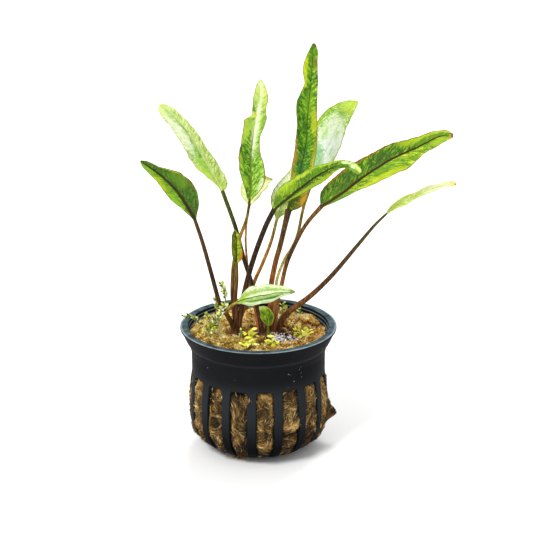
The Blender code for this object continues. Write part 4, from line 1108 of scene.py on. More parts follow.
def blade_surface(leaf, seed=0):
    """A closed blade: midrib + right * v * half width + up * (fold + ripples), with a skin each side.

    v runs from -1 at the left margin to 1 at the right one. The thickness is about 0.3 mm, less
    towards the margins, and a rib as thick as the stalk's end fades out along the underside.
    Between the side veins, which stand VEIN_GAP mm apart, the blade is quilted by 0.08 mm.
    """
    step, columns = 0.36, 25
    fold, ripple, waves = 0.16, 0.35, 3.0
    rough = curve_through(leaf["rib"], np.linspace(0, 1, 50))
    length = np.linalg.norm(np.diff(rough, axis=0), axis=1).sum()
    rows = max(int(length / step), 30)
    u = np.linspace(0, 1, rows)
    u = u - 0.045 * np.sin(2 * math.pi * u)
    centre = curve_through(leaf["rib"], u)
    along = unit(np.gradient(centre, axis=0))
    looks = np.array(leaf["looks"], float)
    face = unit(looks - (along @ looks)[:, None] * along)
    right = np.cross(along, face)
    upper = face if leaf["side"] == "upper" else -face
    places, left_half, right_half = np.array(leaf["edge"]).T
    left, right_width = smooth_values(places, left_half, u), smooth_values(places, right_half, u)
    v = np.sin(np.linspace(-1, 1, columns) * math.pi / 2)
    wide = np.where(v < 0, left[:, None], right_width[:, None])
    # The margins aren't ruled lines: each wanders a little, on its own.
    wander = ripples(centre[:, None] + np.array([0, 0, 9.0]) * np.sign(v)[:, None], 45 + seed, 3.0)
    wide = wide + 0.15 * np.clip(wide, 0, 1) + 0.10 * wander * np.clip(wide / 4, 0, 1)
    reach = v * wide
    spot = centre[:, None] + right[:, None] * reach[..., None]
    wave = ripple * np.abs(v)**2 * np.sin(2 * math.pi * waves * u[:, None] + 1.3 * v + seed)
    wave = wave * np.clip(wide / 4.0, 0, 1) + 0.10 * ripples(spot, 40 + seed, 4.0) * np.clip(wide / 3, 0, 1)
    slant = u[:, None] * length - 1.1 * np.abs(reach) + 0.5 * ripples(spot, 41 + seed, 3.0)
    quilt = 0.08 * np.abs(np.sin(math.pi * slant / VEIN_GAP)) + 0.05 * ripples(spot, 42 + seed, 1.6)
    lift = fold * np.abs(reach) + wave + quilt * np.clip(wide / 3, 0, 1) * (1 - v**4)
    rib_size = leaf["radii"][1] * (1 - 0.8 * u[:, None]) + 0.05
    hump = np.exp(-(reach / (rib_size * 0.75))**2)
    thick = 0.10 + 0.07 * (1 - v**2)
    top = spot + upper[:, None] * (lift + thick - 0.10 * hump)[..., None]
    under = spot + upper[:, None] * (lift - thick - 0.95 * rib_size * hump)[..., None]

    def both_skins(upper_values, lower_values):
        """Each ring's values: the upper skin's from left to right, then the lower one's back again."""
        return np.concatenate([upper_values, lower_values[:, ::-1][:, 1:-1]], axis=1)

    names = ("along", "side", "reach", "distance")
    marks = np.broadcast_arrays(u[:, None], v[None], reach, u[:, None] * length)
    return both_skins(top, under), {name: both_skins(mark, mark) for name, mark in zip(names, marks)}


def with_ends(values):
    """Point values for a loft's two closing points as well."""
    return np.concatenate([values.ravel(), [values[0].mean(), values[-1].mean()]])


rings, marks = blade_surface(LEAVES["tall"])
print("the tall blade is a loft of", rings.shape[0], "rings of", rings.shape[1], "points")

# %% [markdown]
# ### Leaf colour
# The leaves are mottled: three greens in blotches that follow the side veins, a pale or brown
# midrib, a thin border that yellows or browns, and near-white areas that are partly waxy bloom and
# partly painted glare highlights. The finish reads the place along and across the blade from marks
# stored on its points, so one finish serves every blade. A leaf's recipe lists three greens for
# each half, its border, its rib and a few spots, each with a place, a size and a colour. Where the
# two halves differ, part of the difference is painted light and shade.

# %% The leaf finish and its recipes
def leaf_finish(name, look):
    """Three greens mottled along the side veins, then bands, spots, border and midrib over them."""
    leaf = Finish("leaf " + name, Specular_IOR_Level=0.3, IOR=1.22)

    def hue(shade, factor=1.0):
        """A recipe's colour as the shader needs it: the sky adds some light, so it is dimmed first."""
        richness = 1 - np.clip(shade[2] / 220, 0, 1)
        red, green, blue = np.array(shade) * look.get("dim", 0.94)**richness * factor
        return tone(red, green, max(blue - 8 * richness, 4))

    along, side, reach, distance = (leaf.mark(mark) for mark in ("along", "side", "reach", "distance"))
    across = abs(side)
    place = leaf.place()
    blotch = leaf.noise(place, 2.6, 4.0, 0.65, 0.8)
    patch = leaf.noise(place, 1.2, 3.0, 0.7, 0.6)
    fleck = leaf.noise(place, 0.5, 3.0, 0.8)
    right_half = side.step(-0.03, 0.03)
    # A place measured along the side veins, which leave the midrib at a slant: noise read there
    # comes out in streaks that follow them, and cells read there lie between them.
    slant = distance - abs(reach) * look.get("slant", 1.1)
    vein_place = leaf.add("ShaderNodeCombineXYZ", None,
                          {"X": slant, "Y": reach * look.get("stretch", 0.3), "Z": right_half * 7.0})
    streak = leaf.add("ShaderNodeTexNoise", None,
                      {"Vector": vein_place, "Scale": 1 / look.get("gap", 1.5), "Detail": 4.0,
                       "Roughness": 0.6, "Distortion": 0.5}, "Fac")
    cell_place = leaf.add("ShaderNodeCombineXYZ", None,
                          {"X": slant + (blotch - 0.5) * 3.0, "Y": reach * 0.55 + (fleck - 0.5) * 1.2,
                           "Z": right_half * 7.0})
    cells = leaf.add("ShaderNodeTexVoronoi", {"feature": "DISTANCE_TO_EDGE"},
                     {"Vector": cell_place, "Scale": 1 / look.get("cell", 1.5)}, "Distance")
    # A ragged leaf is mottled in grains; a leaf that isn't has long streaks instead.
    rough = look.get("ragged", 1.0)
    mottle = (streak * (0.80 - 0.60 * rough) + blotch * 0.20 + (patch * 0.28 + fleck * 0.32) * rough
              + cells.step(0.0, 0.35) * 0.12 - 0.06)
    low, high = look.get("mottle", (0.43, 0.57))

    def three_greens(tones):
        """One half's colour: from its dark green to its bright one as the mottle rises."""
        places = (low, (low + high) / 2, high)
        return leaf.ramp(mottle, [(at, hue(shade)) for at, shade in zip(places, tones)])

    # The halves' greens differ partly by painted light and shade: one half is lit through, one shaded.
    colour = leaf.mix(right_half, three_greens(look["left"]), three_greens(look.get("right", look["left"])))
    network = cells.step(0.13, 0.03) * streak.step(0.62, 0.42) * across.step(0.02, 0.15)
    vein_colour = hue(look.get("vein", look["left"][0]), 0.85)
    colour = leaf.mix(network * look.get("network", 0.6), colour, vein_colour)
    vein_turn = slant * (2 * math.pi / VEIN_GAP) + blotch * 4.0
    veins = vein_turn.sine().step(0.80, 1.0) * across.step(0.02, 0.2) * streak.step(0.42, 0.58)
    veins = veins * patch.step(0.56, 0.44)
    colour = leaf.mix(veins * look.get("vein_strength", 0.4), colour, vein_colour)
    for at_side, width, shade, strength in look.get("bands", ()):
        mask = abs(side - at_side + (streak - 0.5) * 0.12).step(width, width * 0.3)
        mask = mask * along.step(0.0, 0.15) * along.step(1.0, 0.85) * strength
        colour = leaf.mix(mask, colour, hue(shade))
    ragged = ((streak - 0.5) * 2.5 + (patch - 0.5) * 3.5 + (fleck - 0.5) * 3.0) * rough
    # Near-white spots are partly waxy bloom and partly painted glare highlights.
    for at_along, at_side, size_along, size_side, shade, strength in look.get("spots", ()):
        far = ((along - at_along) / size_along)**2 + ((side - at_side) / size_side)**2 + ragged
        mask = (far.step(1.5, 0.3) * strength * (0.6 + fleck * 0.8)).least(1.0)
        colour = leaf.mix(mask, colour, hue(shade))
    uneven = ((blotch - 0.5) * 0.3 + (fleck - 0.5) * 0.15) * rough
    border = (across + uneven).step(1 - look.get("border_width", 0.12), 1.0)
    border_colour = leaf.mix(streak.step(0.46, 0.56), hue(look["border"][0]), hue(look["border"][1]))
    colour = leaf.mix(border * 0.9, colour, border_colour)
    outline = (across + (blotch - 0.5) * 0.12 * rough).step(0.91, 0.97)
    colour = leaf.mix(outline * look.get("outline", 0.6), colour, hue(look["border"][1], 0.68))
    shade, base_half, tip_half, strength = look["rib"]
    rib_half = along * (tip_half - base_half) + base_half
    rib_fade, rib_end = look.get("rib_ends", (0.90, 1.0))
    rib = (abs(reach) / rib_half).step(1.2, 0.75) * along.step(rib_end, rib_fade)
    rib_shade = leaf.mix(fleck, hue(shade, 0.7), hue(np.minimum(1.2 * np.array(shade), 255)))
    colour = leaf.mix(rib * strength, colour, rib_shade)
    relief = veins * -0.5 + streak * 0.3 + patch * 0.4 + fleck * 0.3 + cells.step(0.0, 0.3) * 0.4
    return leaf.set(Base_Color=colour, Roughness=0.42 + mottle * 0.2, Normal=leaf.bump(relief, 0.2))


# Where a leaf's two halves differ, part of the difference is painted light and shade.
# left and right: three greens, dark to bright. spots: along, side, half sizes, colour, strength.
# bands: side, half width, colour, strength. rib: colour, half width at base and tip, strength.
# Near-white greens, spots and bands are partly waxy bloom and partly painted glare highlights.
LOOKS = {
    "far_left": dict(
        left=[(76, 128, 38), (110, 160, 40), (160, 194, 44)],
        right=[(52, 84, 38), (78, 118, 42), (104, 148, 44)],
        border=[(166, 190, 50), (112, 118, 40)], border_width=0.09, rib=[(60, 48, 26), 0.78, 0.25, 0.95],
        vein=(58, 96, 34), mottle=(0.37, 0.63), network=0.3, vein_strength=0.25,
        spots=[(0.60, -0.80, 0.16, 0.35, (178, 198, 32), 0.8), (0.86, -0.6, 0.12, 0.6, (140, 184, 46), 0.7),
               (0.30, -0.75, 0.14, 0.3, (142, 184, 46), 0.6), (0.42, 0.95, 0.08, 0.09, (150, 112, 34), 0.6),
               (0.66, 0.97, 0.18, 0.10, (192, 206, 62), 0.8), (0.10, 0.35, 0.12, 0.60, (66, 88, 48), 0.7),
               (0.12, -0.25, 0.09, 0.35, (66, 90, 38), 0.8),
               (0.52, 0.6, 0.12, 0.35, (108, 150, 42), 0.6), (1.0, 0.4, 0.035, 1.2, (92, 64, 28), 0.9)]),
    "pale_left": dict(
        left=[(170, 198, 112), (194, 212, 140), (214, 226, 172)],
        right=[(180, 202, 104), (196, 212, 130), (214, 224, 162)],
        border=[(226, 232, 170), (204, 208, 116)], border_width=0.10, rib=[(224, 228, 158), 0.24, 0.12, 0.85],
        vein=(104, 160, 72), vein_strength=0.25, network=0.7, dim=0.96, rib_ends=(0.58, 0.66),
        mottle=(0.41, 0.59), ragged=0.9, outline=0.4, slant=0.7,
        spots=[(0.27, -0.32, 0.22, 0.4, (146, 198, 64), 0.85), (0.50, -0.16, 0.16, 0.14, (134, 184, 74), 0.6),
               (0.07, -0.3, 0.10, 0.9, (164, 190, 76), 0.95), (0.16, -0.85, 0.2, 0.45, (184, 212, 80), 0.9),
               (0.985, -0.6, 0.03, 0.5, (232, 200, 70), 0.9), (0.70, -0.06, 0.10, 0.06, (84, 130, 56), 0.7),
               (0.95, 0.0, 0.08, 1.4, (196, 212, 128), 0.9), (0.45, -0.30, 0.03, 0.10, (88, 142, 48), 0.7),
               (0.54, -0.24, 0.03, 0.08, (88, 142, 48), 0.7), (0.38, -0.2, 0.03, 0.10, (88, 142, 48), 0.7),
               (0.60, -0.55, 0.02, 0.10, (104, 158, 78), 0.7), (0.67, -0.40, 0.02, 0.08, (104, 158, 78), 0.7),
               (0.84, 0.0, 0.12, 0.3, (168, 200, 124), 0.7), (0.66, -0.60, 0.24, 0.40, (232, 240, 208), 0.65),
               (0.60, 0.3, 0.30, 0.2, (196, 218, 128), 0.5), (0.28, 0.99, 0.08, 0.08, (112, 76, 50), 0.7)]),
    "twisted": dict(
        left=[(66, 112, 36), (108, 160, 48), (152, 200, 64)],
        right=[(118, 172, 56), (150, 200, 76), (190, 222, 106)],
        border=[(196, 206, 60), (176, 116, 46)], border_width=0.12, rib=[(118, 120, 50), 0.40, 0.10, 0.65],
        vein=(44, 92, 34), rib_ends=(0.50, 0.62), outline=0.95, vein_strength=0.15, stretch=0.6,
        spots=[(0.6, 0.24, 0.22, 0.46, (214, 232, 160), 0.75), (0.58, 0.20, 0.18, 0.22, (240, 246, 220), 0.6),
               (0.82, 0.1, 0.2, 0.5, (216, 230, 158), 0.75), (0.80, 0.12, 0.15, 0.22, (240, 246, 218), 0.55),
               (0.94, 0.0, 0.09, 0.9, (232, 240, 176), 0.8), (0.86, 0.85, 0.14, 0.2, (216, 226, 84), 0.7),
               (0.78, -0.75, 0.030, 0.35, (88, 142, 42), 0.9), (0.70, -0.60, 0.03, 0.8, (220, 234, 100), 0.9),
               (0.58, -0.75, 0.1, 0.4, (184, 212, 76), 0.85), (0.33, -0.88, 0.06, 0.22, (170, 196, 58), 0.7),
               (0.85, -0.45, 0.09, 0.6, (196, 222, 110), 0.9), (0.15, -0.8, 0.06, 0.5, (140, 184, 48), 0.7),
               (0.62, -0.3, 0.05, 0.4, (166, 204, 84), 0.8), (0.12, 0.85, 0.05, 0.22, (238, 244, 204), 0.9),
               (0.66, 0.75, 0.05, 0.3, (140, 190, 60), 0.8)]),
    "folded_back": dict(
        left=[(206, 216, 140), (228, 234, 168), (240, 242, 194)], border=[(226, 226, 150), (204, 206, 120)],
        rib=[(204, 208, 128), 0.25, 0.1, 0.6], vein_strength=0.2,
        spots=[(0.93, 0.0, 0.13, 1.4, (158, 158, 66), 0.9), (0.99, 0.0, 0.05, 1.4, (136, 112, 50), 0.9)]),
    "young_left": dict(
        left=[(78, 94, 30), (106, 120, 36), (130, 144, 48)],
        right=[(142, 164, 44), (164, 184, 50), (188, 198, 60)],
        border=[(134, 118, 40), (160, 110, 38)], border_width=0.12, rib=[(50, 48, 22), 0.30, 0.15, 0.85],
        spots=[(0.20, 0.9, 0.15, 0.4, (196, 124, 36), 0.95), (0.72, 0.9, 0.10, 0.3, (130, 96, 40), 0.7)]),
    "arching": dict(
        left=[(76, 112, 36), (110, 158, 42), (166, 198, 54)],
        right=[(66, 94, 34), (104, 146, 42), (158, 192, 50)],
        border=[(192, 216, 70), (154, 182, 52)], border_width=0.16, rib=[(54, 50, 26), 0.55, 0.20, 0.95],
        dim=0.97, vein=(70, 112, 36), rib_ends=(0.68, 0.80),
        spots=[(0.52, -0.18, 0.26, 0.30, (78, 116, 38), 0.7), (0.12, 0.45, 0.14, 0.9, (66, 88, 34), 0.85),
               (0.45, -0.95, 0.50, 0.28, (192, 216, 66), 0.85), (0.42, 0.85, 0.30, 0.35, (172, 202, 52), 0.8),
               (0.07, -0.6, 0.07, 0.6, (92, 130, 40), 0.9), (0.25, -0.6, 0.10, 0.4, (160, 192, 50), 0.6),
               (0.57, -0.5, 0.07, 0.6, (88, 134, 38), 0.8), (0.85, -0.55, 0.05, 0.40, (218, 236, 170), 0.8),
               (0.94, -0.4, 0.07, 0.8, (214, 236, 130), 0.9), (0.84, 0.5, 0.08, 0.5, (90, 134, 40), 0.8),
               (0.95, 0.6, 0.06, 0.5, (122, 158, 62), 0.9), (0.90, 0.0, 0.03, 0.4, (232, 242, 206), 0.8),
               (1.0, 0.0, 0.010, 1.5, (84, 72, 34), 0.9)]),
    "tall": dict(
        left=[(54, 98, 32), (90, 142, 38), (144, 186, 50)],
        right=[(64, 108, 36), (108, 156, 44), (174, 204, 58)],
        border=[(190, 182, 50), (152, 92, 38)], border_width=0.09, rib=[(46, 80, 30), 0.30, 0.12, 0.7],
        dim=0.98, gap=2.2, stretch=0.8, slant=0.8, vein_strength=0.45, vein=(38, 78, 28), network=0.6,
        mottle=(0.41, 0.59),
        spots=[(0.04, 0.0, 0.07, 1.5, (62, 62, 28), 0.9), (0.30, -0.93, 0.14, 0.16, (190, 124, 60), 0.85),
               (0.17, -0.6, 0.06, 0.6, (184, 184, 62), 0.8), (0.28, 0.0, 0.10, 0.5, (52, 104, 56), 0.7),
               (0.22, 0.93, 0.12, 0.16, (206, 142, 56), 0.8), (0.31, 0.95, 0.04, 0.14, (232, 200, 156), 0.8),
               (0.84, -0.80, 0.09, 0.35, (204, 214, 44), 0.85), (0.54, 0.7, 0.08, 0.35, (196, 208, 54), 0.7),
               (0.93, 0.1, 0.06, 0.6, (98, 140, 38), 0.6), (0.66, 0.1, 0.08, 0.5, (132, 176, 46), 0.5),
               (0.35, 0.85, 0.08, 0.20, (164, 170, 54), 0.7), (0.31, -0.78, 0.06, 0.25, (160, 138, 52), 0.7),
               (0.44, 0.2, 0.05, 0.4, (90, 140, 42), 0.6), (0.42, 0.97, 0.12, 0.06, (190, 116, 44), 0.8),
               (0.10, 0.75, 0.10, 0.25, (140, 120, 46), 0.6), (0.88, 0.6, 0.04, 0.3, (132, 116, 44), 0.6),
               (0.08, 0.85, 0.03, 0.20, (206, 148, 48), 0.7), (1.0, 0.0, 0.02, 1.5, (74, 60, 30), 0.8)]),
    "broad_right": dict(
        left=[(132, 184, 56), (184, 214, 86), (224, 238, 150)], border=[(190, 214, 62), (146, 186, 48)],
        border_width=0.16, rib=[(206, 224, 150), 0.20, 0.1, 0.3], slant=-1.4, stretch=0.9, gap=2.0,
        vein=(100, 176, 96), vein_strength=0.4, network=0.75, cell=1.1, dim=0.98,
        spots=[(0.48, 0.20, 0.26, 0.90, (244, 250, 242), 0.95), (0.66, -0.1, 0.14, 0.6, (228, 242, 206), 0.7),
               (0.95, -0.75, 0.06, 0.30, (160, 200, 62), 0.7), (0.80, -0.1, 0.04, 0.25, (150, 190, 90), 0.6),
               (0.28, -0.25, 0.1, 0.5, (112, 190, 108), 0.7), (0.38, -0.45, 0.06, 0.35, (124, 192, 128), 0.7),
               (0.42, 0.5, 0.05, 0.2, (150, 204, 110), 0.6), (0.60, 0.3, 0.05, 0.15, (170, 212, 110), 0.6),
               (0.55, -0.4, 0.07, 0.12, (160, 206, 120), 0.6), (0.06, 0.0, 0.08, 1.4, (128, 166, 48), 0.9),
               (0.93, -0.1, 0.10, 0.8, (208, 231, 86), 0.75), (0.50, 0.7, 0.16, 0.25, (236, 246, 226), 0.7)]),
    "pale_back": dict(
        left=[(164, 194, 92), (200, 220, 132), (224, 234, 168)], border=[(196, 212, 110), (150, 170, 70)],
        rib=[(150, 170, 80), 0.3, 0.1, 0.6], vein_strength=0.2,
        spots=[(0.5, -0.4, 0.35, 0.5, (234, 242, 216), 0.8), (0.05, 0.0, 0.08, 1.4, (140, 160, 70), 0.8)]),
    "long_right": dict(
        left=[(58, 92, 36), (90, 134, 40), (134, 172, 46)],
        right=[(104, 160, 46), (160, 196, 52), (210, 226, 60)],
        border=[(176, 186, 48), (140, 92, 34)], border_width=0.07, rib=[(70, 50, 28), 0.66, 0.20, 0.97],
        gap=2.0, slant=1.6, stretch=0.5, vein=(50, 88, 34), dim=0.99,
        spots=[(0.88, 0.0, 0.12, 1.0, (110, 156, 42), 0.6), (0.86, -0.85, 0.14, 0.3, (196, 212, 60), 0.8),
               (0.22, -0.3, 0.12, 0.5, (66, 98, 44), 0.6), (0.52, -0.30, 0.08, 0.50, (64, 98, 44), 0.7),
               (0.36, -0.97, 0.28, 0.07, (178, 106, 34), 0.9), (0.74, -0.8, 0.10, 0.35, (166, 190, 46), 0.7),
               (0.12, 0.5, 0.12, 0.7, (104, 152, 46), 0.8), (0.50, 0.28, 0.10, 0.28, (110, 166, 46), 0.7),
               (0.63, 0.45, 0.05, 0.30, (98, 150, 46), 0.5), (0.44, 0.85, 0.16, 0.25, (208, 220, 50), 0.7),
               (0.70, 0.65, 0.03, 0.30, (122, 158, 42), 0.7), (0.59, 0.99, 0.03, 0.06, (128, 104, 40), 0.8),
               (0.90, 0.5, 0.06, 0.4, (186, 212, 56), 0.6),
               (0.985, 0.2, 0.012, 0.7, (202, 160, 84), 0.8), (1.0, -0.2, 0.012, 1.0, (80, 54, 26), 1.0)]),
    "slender_right": dict(
        left=[(172, 198, 84), (196, 214, 118), (222, 230, 166)], border=[(220, 228, 160), (206, 218, 136)],
        rib=[(176, 198, 92), 0.2, 0.08, 0.5], vein_strength=0.1, network=0.25, outline=0.15,
        mottle=(0.38, 0.62),
        spots=[(0.10, 0.0, 0.15, 1.5, (172, 192, 76), 0.8), (0.82, 0.0, 0.25, 1.5, (230, 231, 182), 0.9),
               (0.96, 0.0, 0.03, 1.2, (232, 206, 120), 0.9), (1.0, 0.2, 0.02, 0.9, (140, 78, 30), 1.0),
               (0.42, -0.8, 0.02, 0.3, (220, 164, 104), 0.8)]),
    "low_front": dict(
        left=[(172, 204, 116), (200, 220, 152), (226, 238, 196)],
        right=[(150, 182, 104), (178, 204, 134), (206, 222, 170)],
        border=[(226, 236, 200), (206, 220, 170)], border_width=0.14, rib=[(78, 116, 50), 0.22, 0.12, 0.95],
        slant=0.0, stretch=3.2, gap=4.0, vein_strength=0.0, network=0.1, dim=0.84, outline=0.45, ragged=0.15,
        bands=[(-0.42, 0.20, (150, 186, 98), 0.7), (0.48, 0.13, (92, 138, 58), 0.95),
               (0.24, 0.12, (156, 190, 102), 0.7), (0.74, 0.12, (220, 230, 196), 0.6),
               (-0.80, 0.12, (226, 237, 198), 0.7), (-0.14, 0.1, (220, 234, 184), 0.7)],
        spots=[(0.05, 0.0, 0.14, 1.5, (164, 194, 62), 0.85), (0.62, 0.5, 0.14, 0.18, (72, 124, 48), 0.8),
               (0.97, 0.0, 0.06, 1.5, (112, 130, 64), 0.8), (1.0, 0.0, 0.02, 1.5, (70, 60, 36), 0.9)]),
    "young_front": dict(
        left=[(84, 116, 36), (112, 144, 42), (150, 178, 54)],
        right=[(80, 114, 36), (108, 144, 44), (150, 184, 58)],
        border=[(214, 228, 90), (170, 196, 66)], border_width=0.24, rib=[(164, 186, 66), 0.18, 0.1, 0.8],
        dim=1.2, outline=0.2,
        spots=[(0.84, 0.4, 0.14, 0.7, (182, 202, 76), 0.9), (0.96, -0.3, 0.05, 0.9, (226, 226, 170), 0.9),
               (0.50, -0.35, 0.05, 0.2, (200, 204, 64), 0.8), (0.10, 0.0, 0.12, 1.2, (128, 156, 52), 0.7),
               (0.66, 0.0, 0.06, 0.3, (140, 176, 60), 0.6), (0.30, 0.6, 0.15, 0.4, (66, 92, 36), 0.5)]),
}

for number, (name, leaf) in enumerate(LEAVES.items()):
    rings, marks = blade_surface(leaf, seed=number)
    points, faces = closed_lofts(rings[None])
    blade = make_piece("blade_" + name, points, faces, leaf_finish(name, LOOKS[name]),
                       {mark: with_ends(values) for mark, values in marks.items()})
    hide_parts("leaf_" + name)

# %% [markdown]
# ### Stalks
# A stalk is a tube that is broad at its foot, where it sheathed the younger leaves, and slim
# at the blade. Its skin is streaked along its length, from reddish brown at the foot to dark
# brown, olive or nearly black above. Each stalk has its own row of colours.

# %% Stalks
def stalk_finish(name, colours):
    """Streaks along the stalk over a blend of colours from foot to blade."""
    skin = Finish("stalk " + name, Specular_IOR_Level=0.35, IOR=1.25)
    streak = skin.noise(skin.place((1.0, 1.0, 0.12)), 0.5, 3.0)
    cloud = skin.noise(skin.place(), 5.0, 2.0)
    fleck = skin.noise(skin.place((1.0, 1.0, 0.4)), 0.6, 2.0, 0.7)
    along = skin.mark("along") + (cloud - 0.5) * 0.25

    def under_light(place, seen):
        """The tone that is seen as given: the sky adds blue above, and by the wool there is less light."""
        low = max(1 - 2.2 * place, 0.0)
        red, green, blue = seen
        return tone((1.04 + 0.16 * low) * red, (0.95 + 0.2 * low) * green, (0.72 + 0.6 * low) * blue)

    places = np.linspace(0.05, 0.95, len(colours))
    base = skin.ramp(along, [(place, under_light(place, seen)) for place, seen in zip(places, colours)])
    shade = skin.mix(streak.step(0.38, 0.62), tone(128, 118, 104), tone(255, 250, 235))
    colour = skin.mix(0.8, base, shade, "MULTIPLY")
    colour = skin.mix(fleck.step(0.60, 0.72) * 0.35, colour, tone(158, 110, 60))
    skin.set(Base_Color=colour, Roughness=0.42 + streak * 0.15, Normal=skin.bump(streak, 0.08))
    return skin.material


STALK_COLOURS = {
    "far_left": [(98, 70, 46), (84, 64, 42), (60, 49, 35), (82, 64, 42), (86, 70, 42)],
    "pale_left": [(74, 52, 40), (60, 46, 30), (58, 50, 28), (58, 64, 32), (82, 104, 44)],
    "twisted": [(94, 66, 44), (92, 70, 46), (126, 112, 54), (160, 128, 72), (98, 98, 38)],
    "folded_back": [(176, 104, 54), (218, 150, 80), (150, 108, 70), (208, 160, 100), (134, 118, 62)],
    "young_left": [(88, 62, 40), (96, 68, 44), (114, 82, 52), (108, 84, 42), (112, 96, 36)],
    "arching": [(98, 70, 48), (84, 62, 44), (50, 40, 29), (46, 37, 27), (46, 41, 24)],
    "tall": [(84, 48, 38), (142, 92, 58), (156, 106, 56), (104, 80, 44), (72, 62, 38)],
    "broad_right": [(112, 74, 48), (196, 190, 122), (180, 180, 112), (124, 108, 56), (140, 142, 50)],
    "pale_back": [(116, 84, 50), (152, 114, 58), (192, 144, 56), (180, 140, 62), (128, 128, 58)],
    "long_right": [(112, 68, 46), (150, 106, 58), (150, 106, 54), (62, 46, 34), (100, 74, 44), (114, 92, 46)],
    "slender_right": [(106, 78, 46), (112, 80, 44), (82, 62, 44), (80, 66, 48), (88, 90, 54)],
    "low_front": [(90, 66, 46), (94, 70, 44), (106, 80, 50), (128, 106, 56), (168, 160, 74)],
    "young_front": [(120, 130, 48), (124, 158, 52), (118, 152, 50)],
}
# How deep a stalk's foot stands in the wool, and how many sides the stalk has.
STALK_SUNK, STALK_SIDES = 2.6, 14
# The feet of one crown draw together, towards this x and y, as they go down into the wool.
LEFT_CLUSTER = ("far_left", "twisted", "young_left", "arching", "low_front", "pale_back")
CLUSTER_MIDDLE = np.array([-7.8, -3.0])
# Radii at foot and blade, where they aren't the leaf's own.
STALK_RADII = {
    "far_left": (0.85, 0.62), "pale_left": (0.8, 0.72), "twisted": (0.85, 0.42), "folded_back": (0.42, 0.4),
    "arching": (0.95, 0.85), "broad_right": (0.5, 0.58), "long_right": (0.8, 0.6), "pale_back": (0.7, 0.52),
    "slender_right": (1.1, 0.36)}
# How much wider a stalk grows where it runs into its blade.
FLARE = {"tall": 0.4, "long_right": 0.2}
for name, leaf in LEAVES.items():
    foot = np.array(leaf["stalk"][0]) - (0, 0, STALK_SUNK)
    steps = 72 if name != "young_front" else 20
    u = np.linspace(0, 1, steps)
    route = curve_through([foot, *leaf["stalk"], leaf["rib"][0]], u)
    if name in LEFT_CLUSTER:
        pull = 0.6 * (1 - ease(route[:, 2], 43.0, 56.0))[:, None]
        route[:, :2] += pull * (CLUSTER_MIDDLE - route[:, :2])
    big, small = STALK_RADII.get(name, leaf["radii"])
    swollen = 0.35 if name != "folded_back" else 0.0
    radius = small + (big - small) * (1 - u)**0.65
    radius = radius + swollen * np.exp(-u / 0.07) + FLARE.get(name, 0.0) * np.exp((u - 1) / 0.1)
    points, faces = tubes(route[None], radius[None], STALK_SIDES)
    stalk = make_piece("petiole_" + name, points, faces, stalk_finish(name, STALK_COLOURS[name]),
                       {"along": per_point(u[None], steps, STALK_SIDES)})
    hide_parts("stalk_" + name)
print("stalks:", len(STALK_COLOURS))

# %% [markdown]
# ## Crowns, sprigs and seedlings
# The two crowns stay as the solids that they are and only get a better finish. The weeds are
# made of hundreds of tiny leaves. A tiny leaf is a flat pointed oval with a crease: ten points
# in all. All of one weed's leaves are made in one array and joined in one mesh.

# %% The crowns' finish
bark = Finish("crown sheaths", Specular_IOR_Level=0.3)
fibre = bark.noise(bark.place((1.0, 1.0, 0.3)), 0.6, 4.0, 0.7)
bark_colour = bark.ramp(fibre, [
    (0.35, tone(40, 24, 14)), (0.5, tone(92, 58, 34)), (0.65, tone(140, 98, 56))])
bark.set(Base_Color=bark_colour, Roughness=0.85, Normal=bark.bump(fibre, 0.3))
for name in ("crown_left", "crown_right"):
    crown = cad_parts[name]
    crown.data.materials.clear()
    crown.data.materials.append(bark.material)
print("crowns dressed")

# %% Tiny leaves
LEAF_POINTS = 10
# The mean roll of the weeds' small leaves turns their faces to the front.
LEAF_ROLL = (-0.1, -0.6, -0.4)


def tiny_leaves(foot, heading, length, width, roll):
    """Pointed ovals: outline foot + heading * length * t +- across * width * sin(pi t), thin and creased."""
    heading = unit(heading)
    across = unit(np.cross(heading, unit(np.array([0.2, 0.1, 1.0]) + roll)))
    normal = np.cross(across, heading)
    t = np.array([0.0, 0.22, 0.5, 0.8, 1.0, 0.8, 0.5, 0.22])
    side = np.array([0, 1, 1, 1, 0, -1, -1, -1]) * np.sin(math.pi * t)**0.8 * 0.5
    length, width = length[:, None, None], width[:, None, None]
    ring = (foot[:, None] + heading[:, None] * length * t[:, None] + across[:, None] * width * side[:, None]
            + normal[:, None] * length * 0.12 * np.abs(side)[:, None])
    centre = foot[:, None] + heading[:, None] * length * 0.5
    middle = centre + normal[:, None] * length * np.array([[0.10], [-0.06]])
    points = np.concatenate([ring, middle], axis=1).reshape(-1, 3)
    return points, [looking_out(points, counted_on(double_fan(8), len(foot), LEAF_POINTS))]


def broad_leaves(rows):
    """Single leaves that face the front: foot x, y, z, turn from the right in degrees, length, width."""
    x, y, z, turn, length, width = np.array(rows, float).reshape(-1, 6).T
    turn = np.radians(turn)
    foot = np.column_stack([x, y, z])
    heading = np.column_stack([np.cos(turn), np.full(len(turn), -0.2), np.sin(turn)])
    return tiny_leaves(foot, heading, length, width, np.tile([-0.2, -0.9, -0.5], (len(x), 1)))


def weed_finish(name, *tones):
    """Small leaves whose tint differs from one to the next, from the first tone to the last."""
    weed = Finish(name, Specular_IOR_Level=0.3)
    stops = list(zip(np.linspace(0, 1, len(tones)), tones))
    return weed.set(Base_Color=weed.ramp(weed.mark("tint"), stops), Roughness=0.5)


def weed_piece(name, stems, leaves, larger, tints, finish):
    """Stems, small leaves and a list of larger ones as one piece; tints are the stems' and the leaves'."""
    points, faces = join([stems, leaves, *([broad_leaves(larger)] if larger else [])])
    stem_tint, leaf_tint = tints
    tint = np.concatenate([np.full(len(stems[0]), stem_tint), np.repeat(leaf_tint, LEAF_POINTS)])
    return make_piece(name, points, faces, finish, {"tint": tint}, smooth=False)


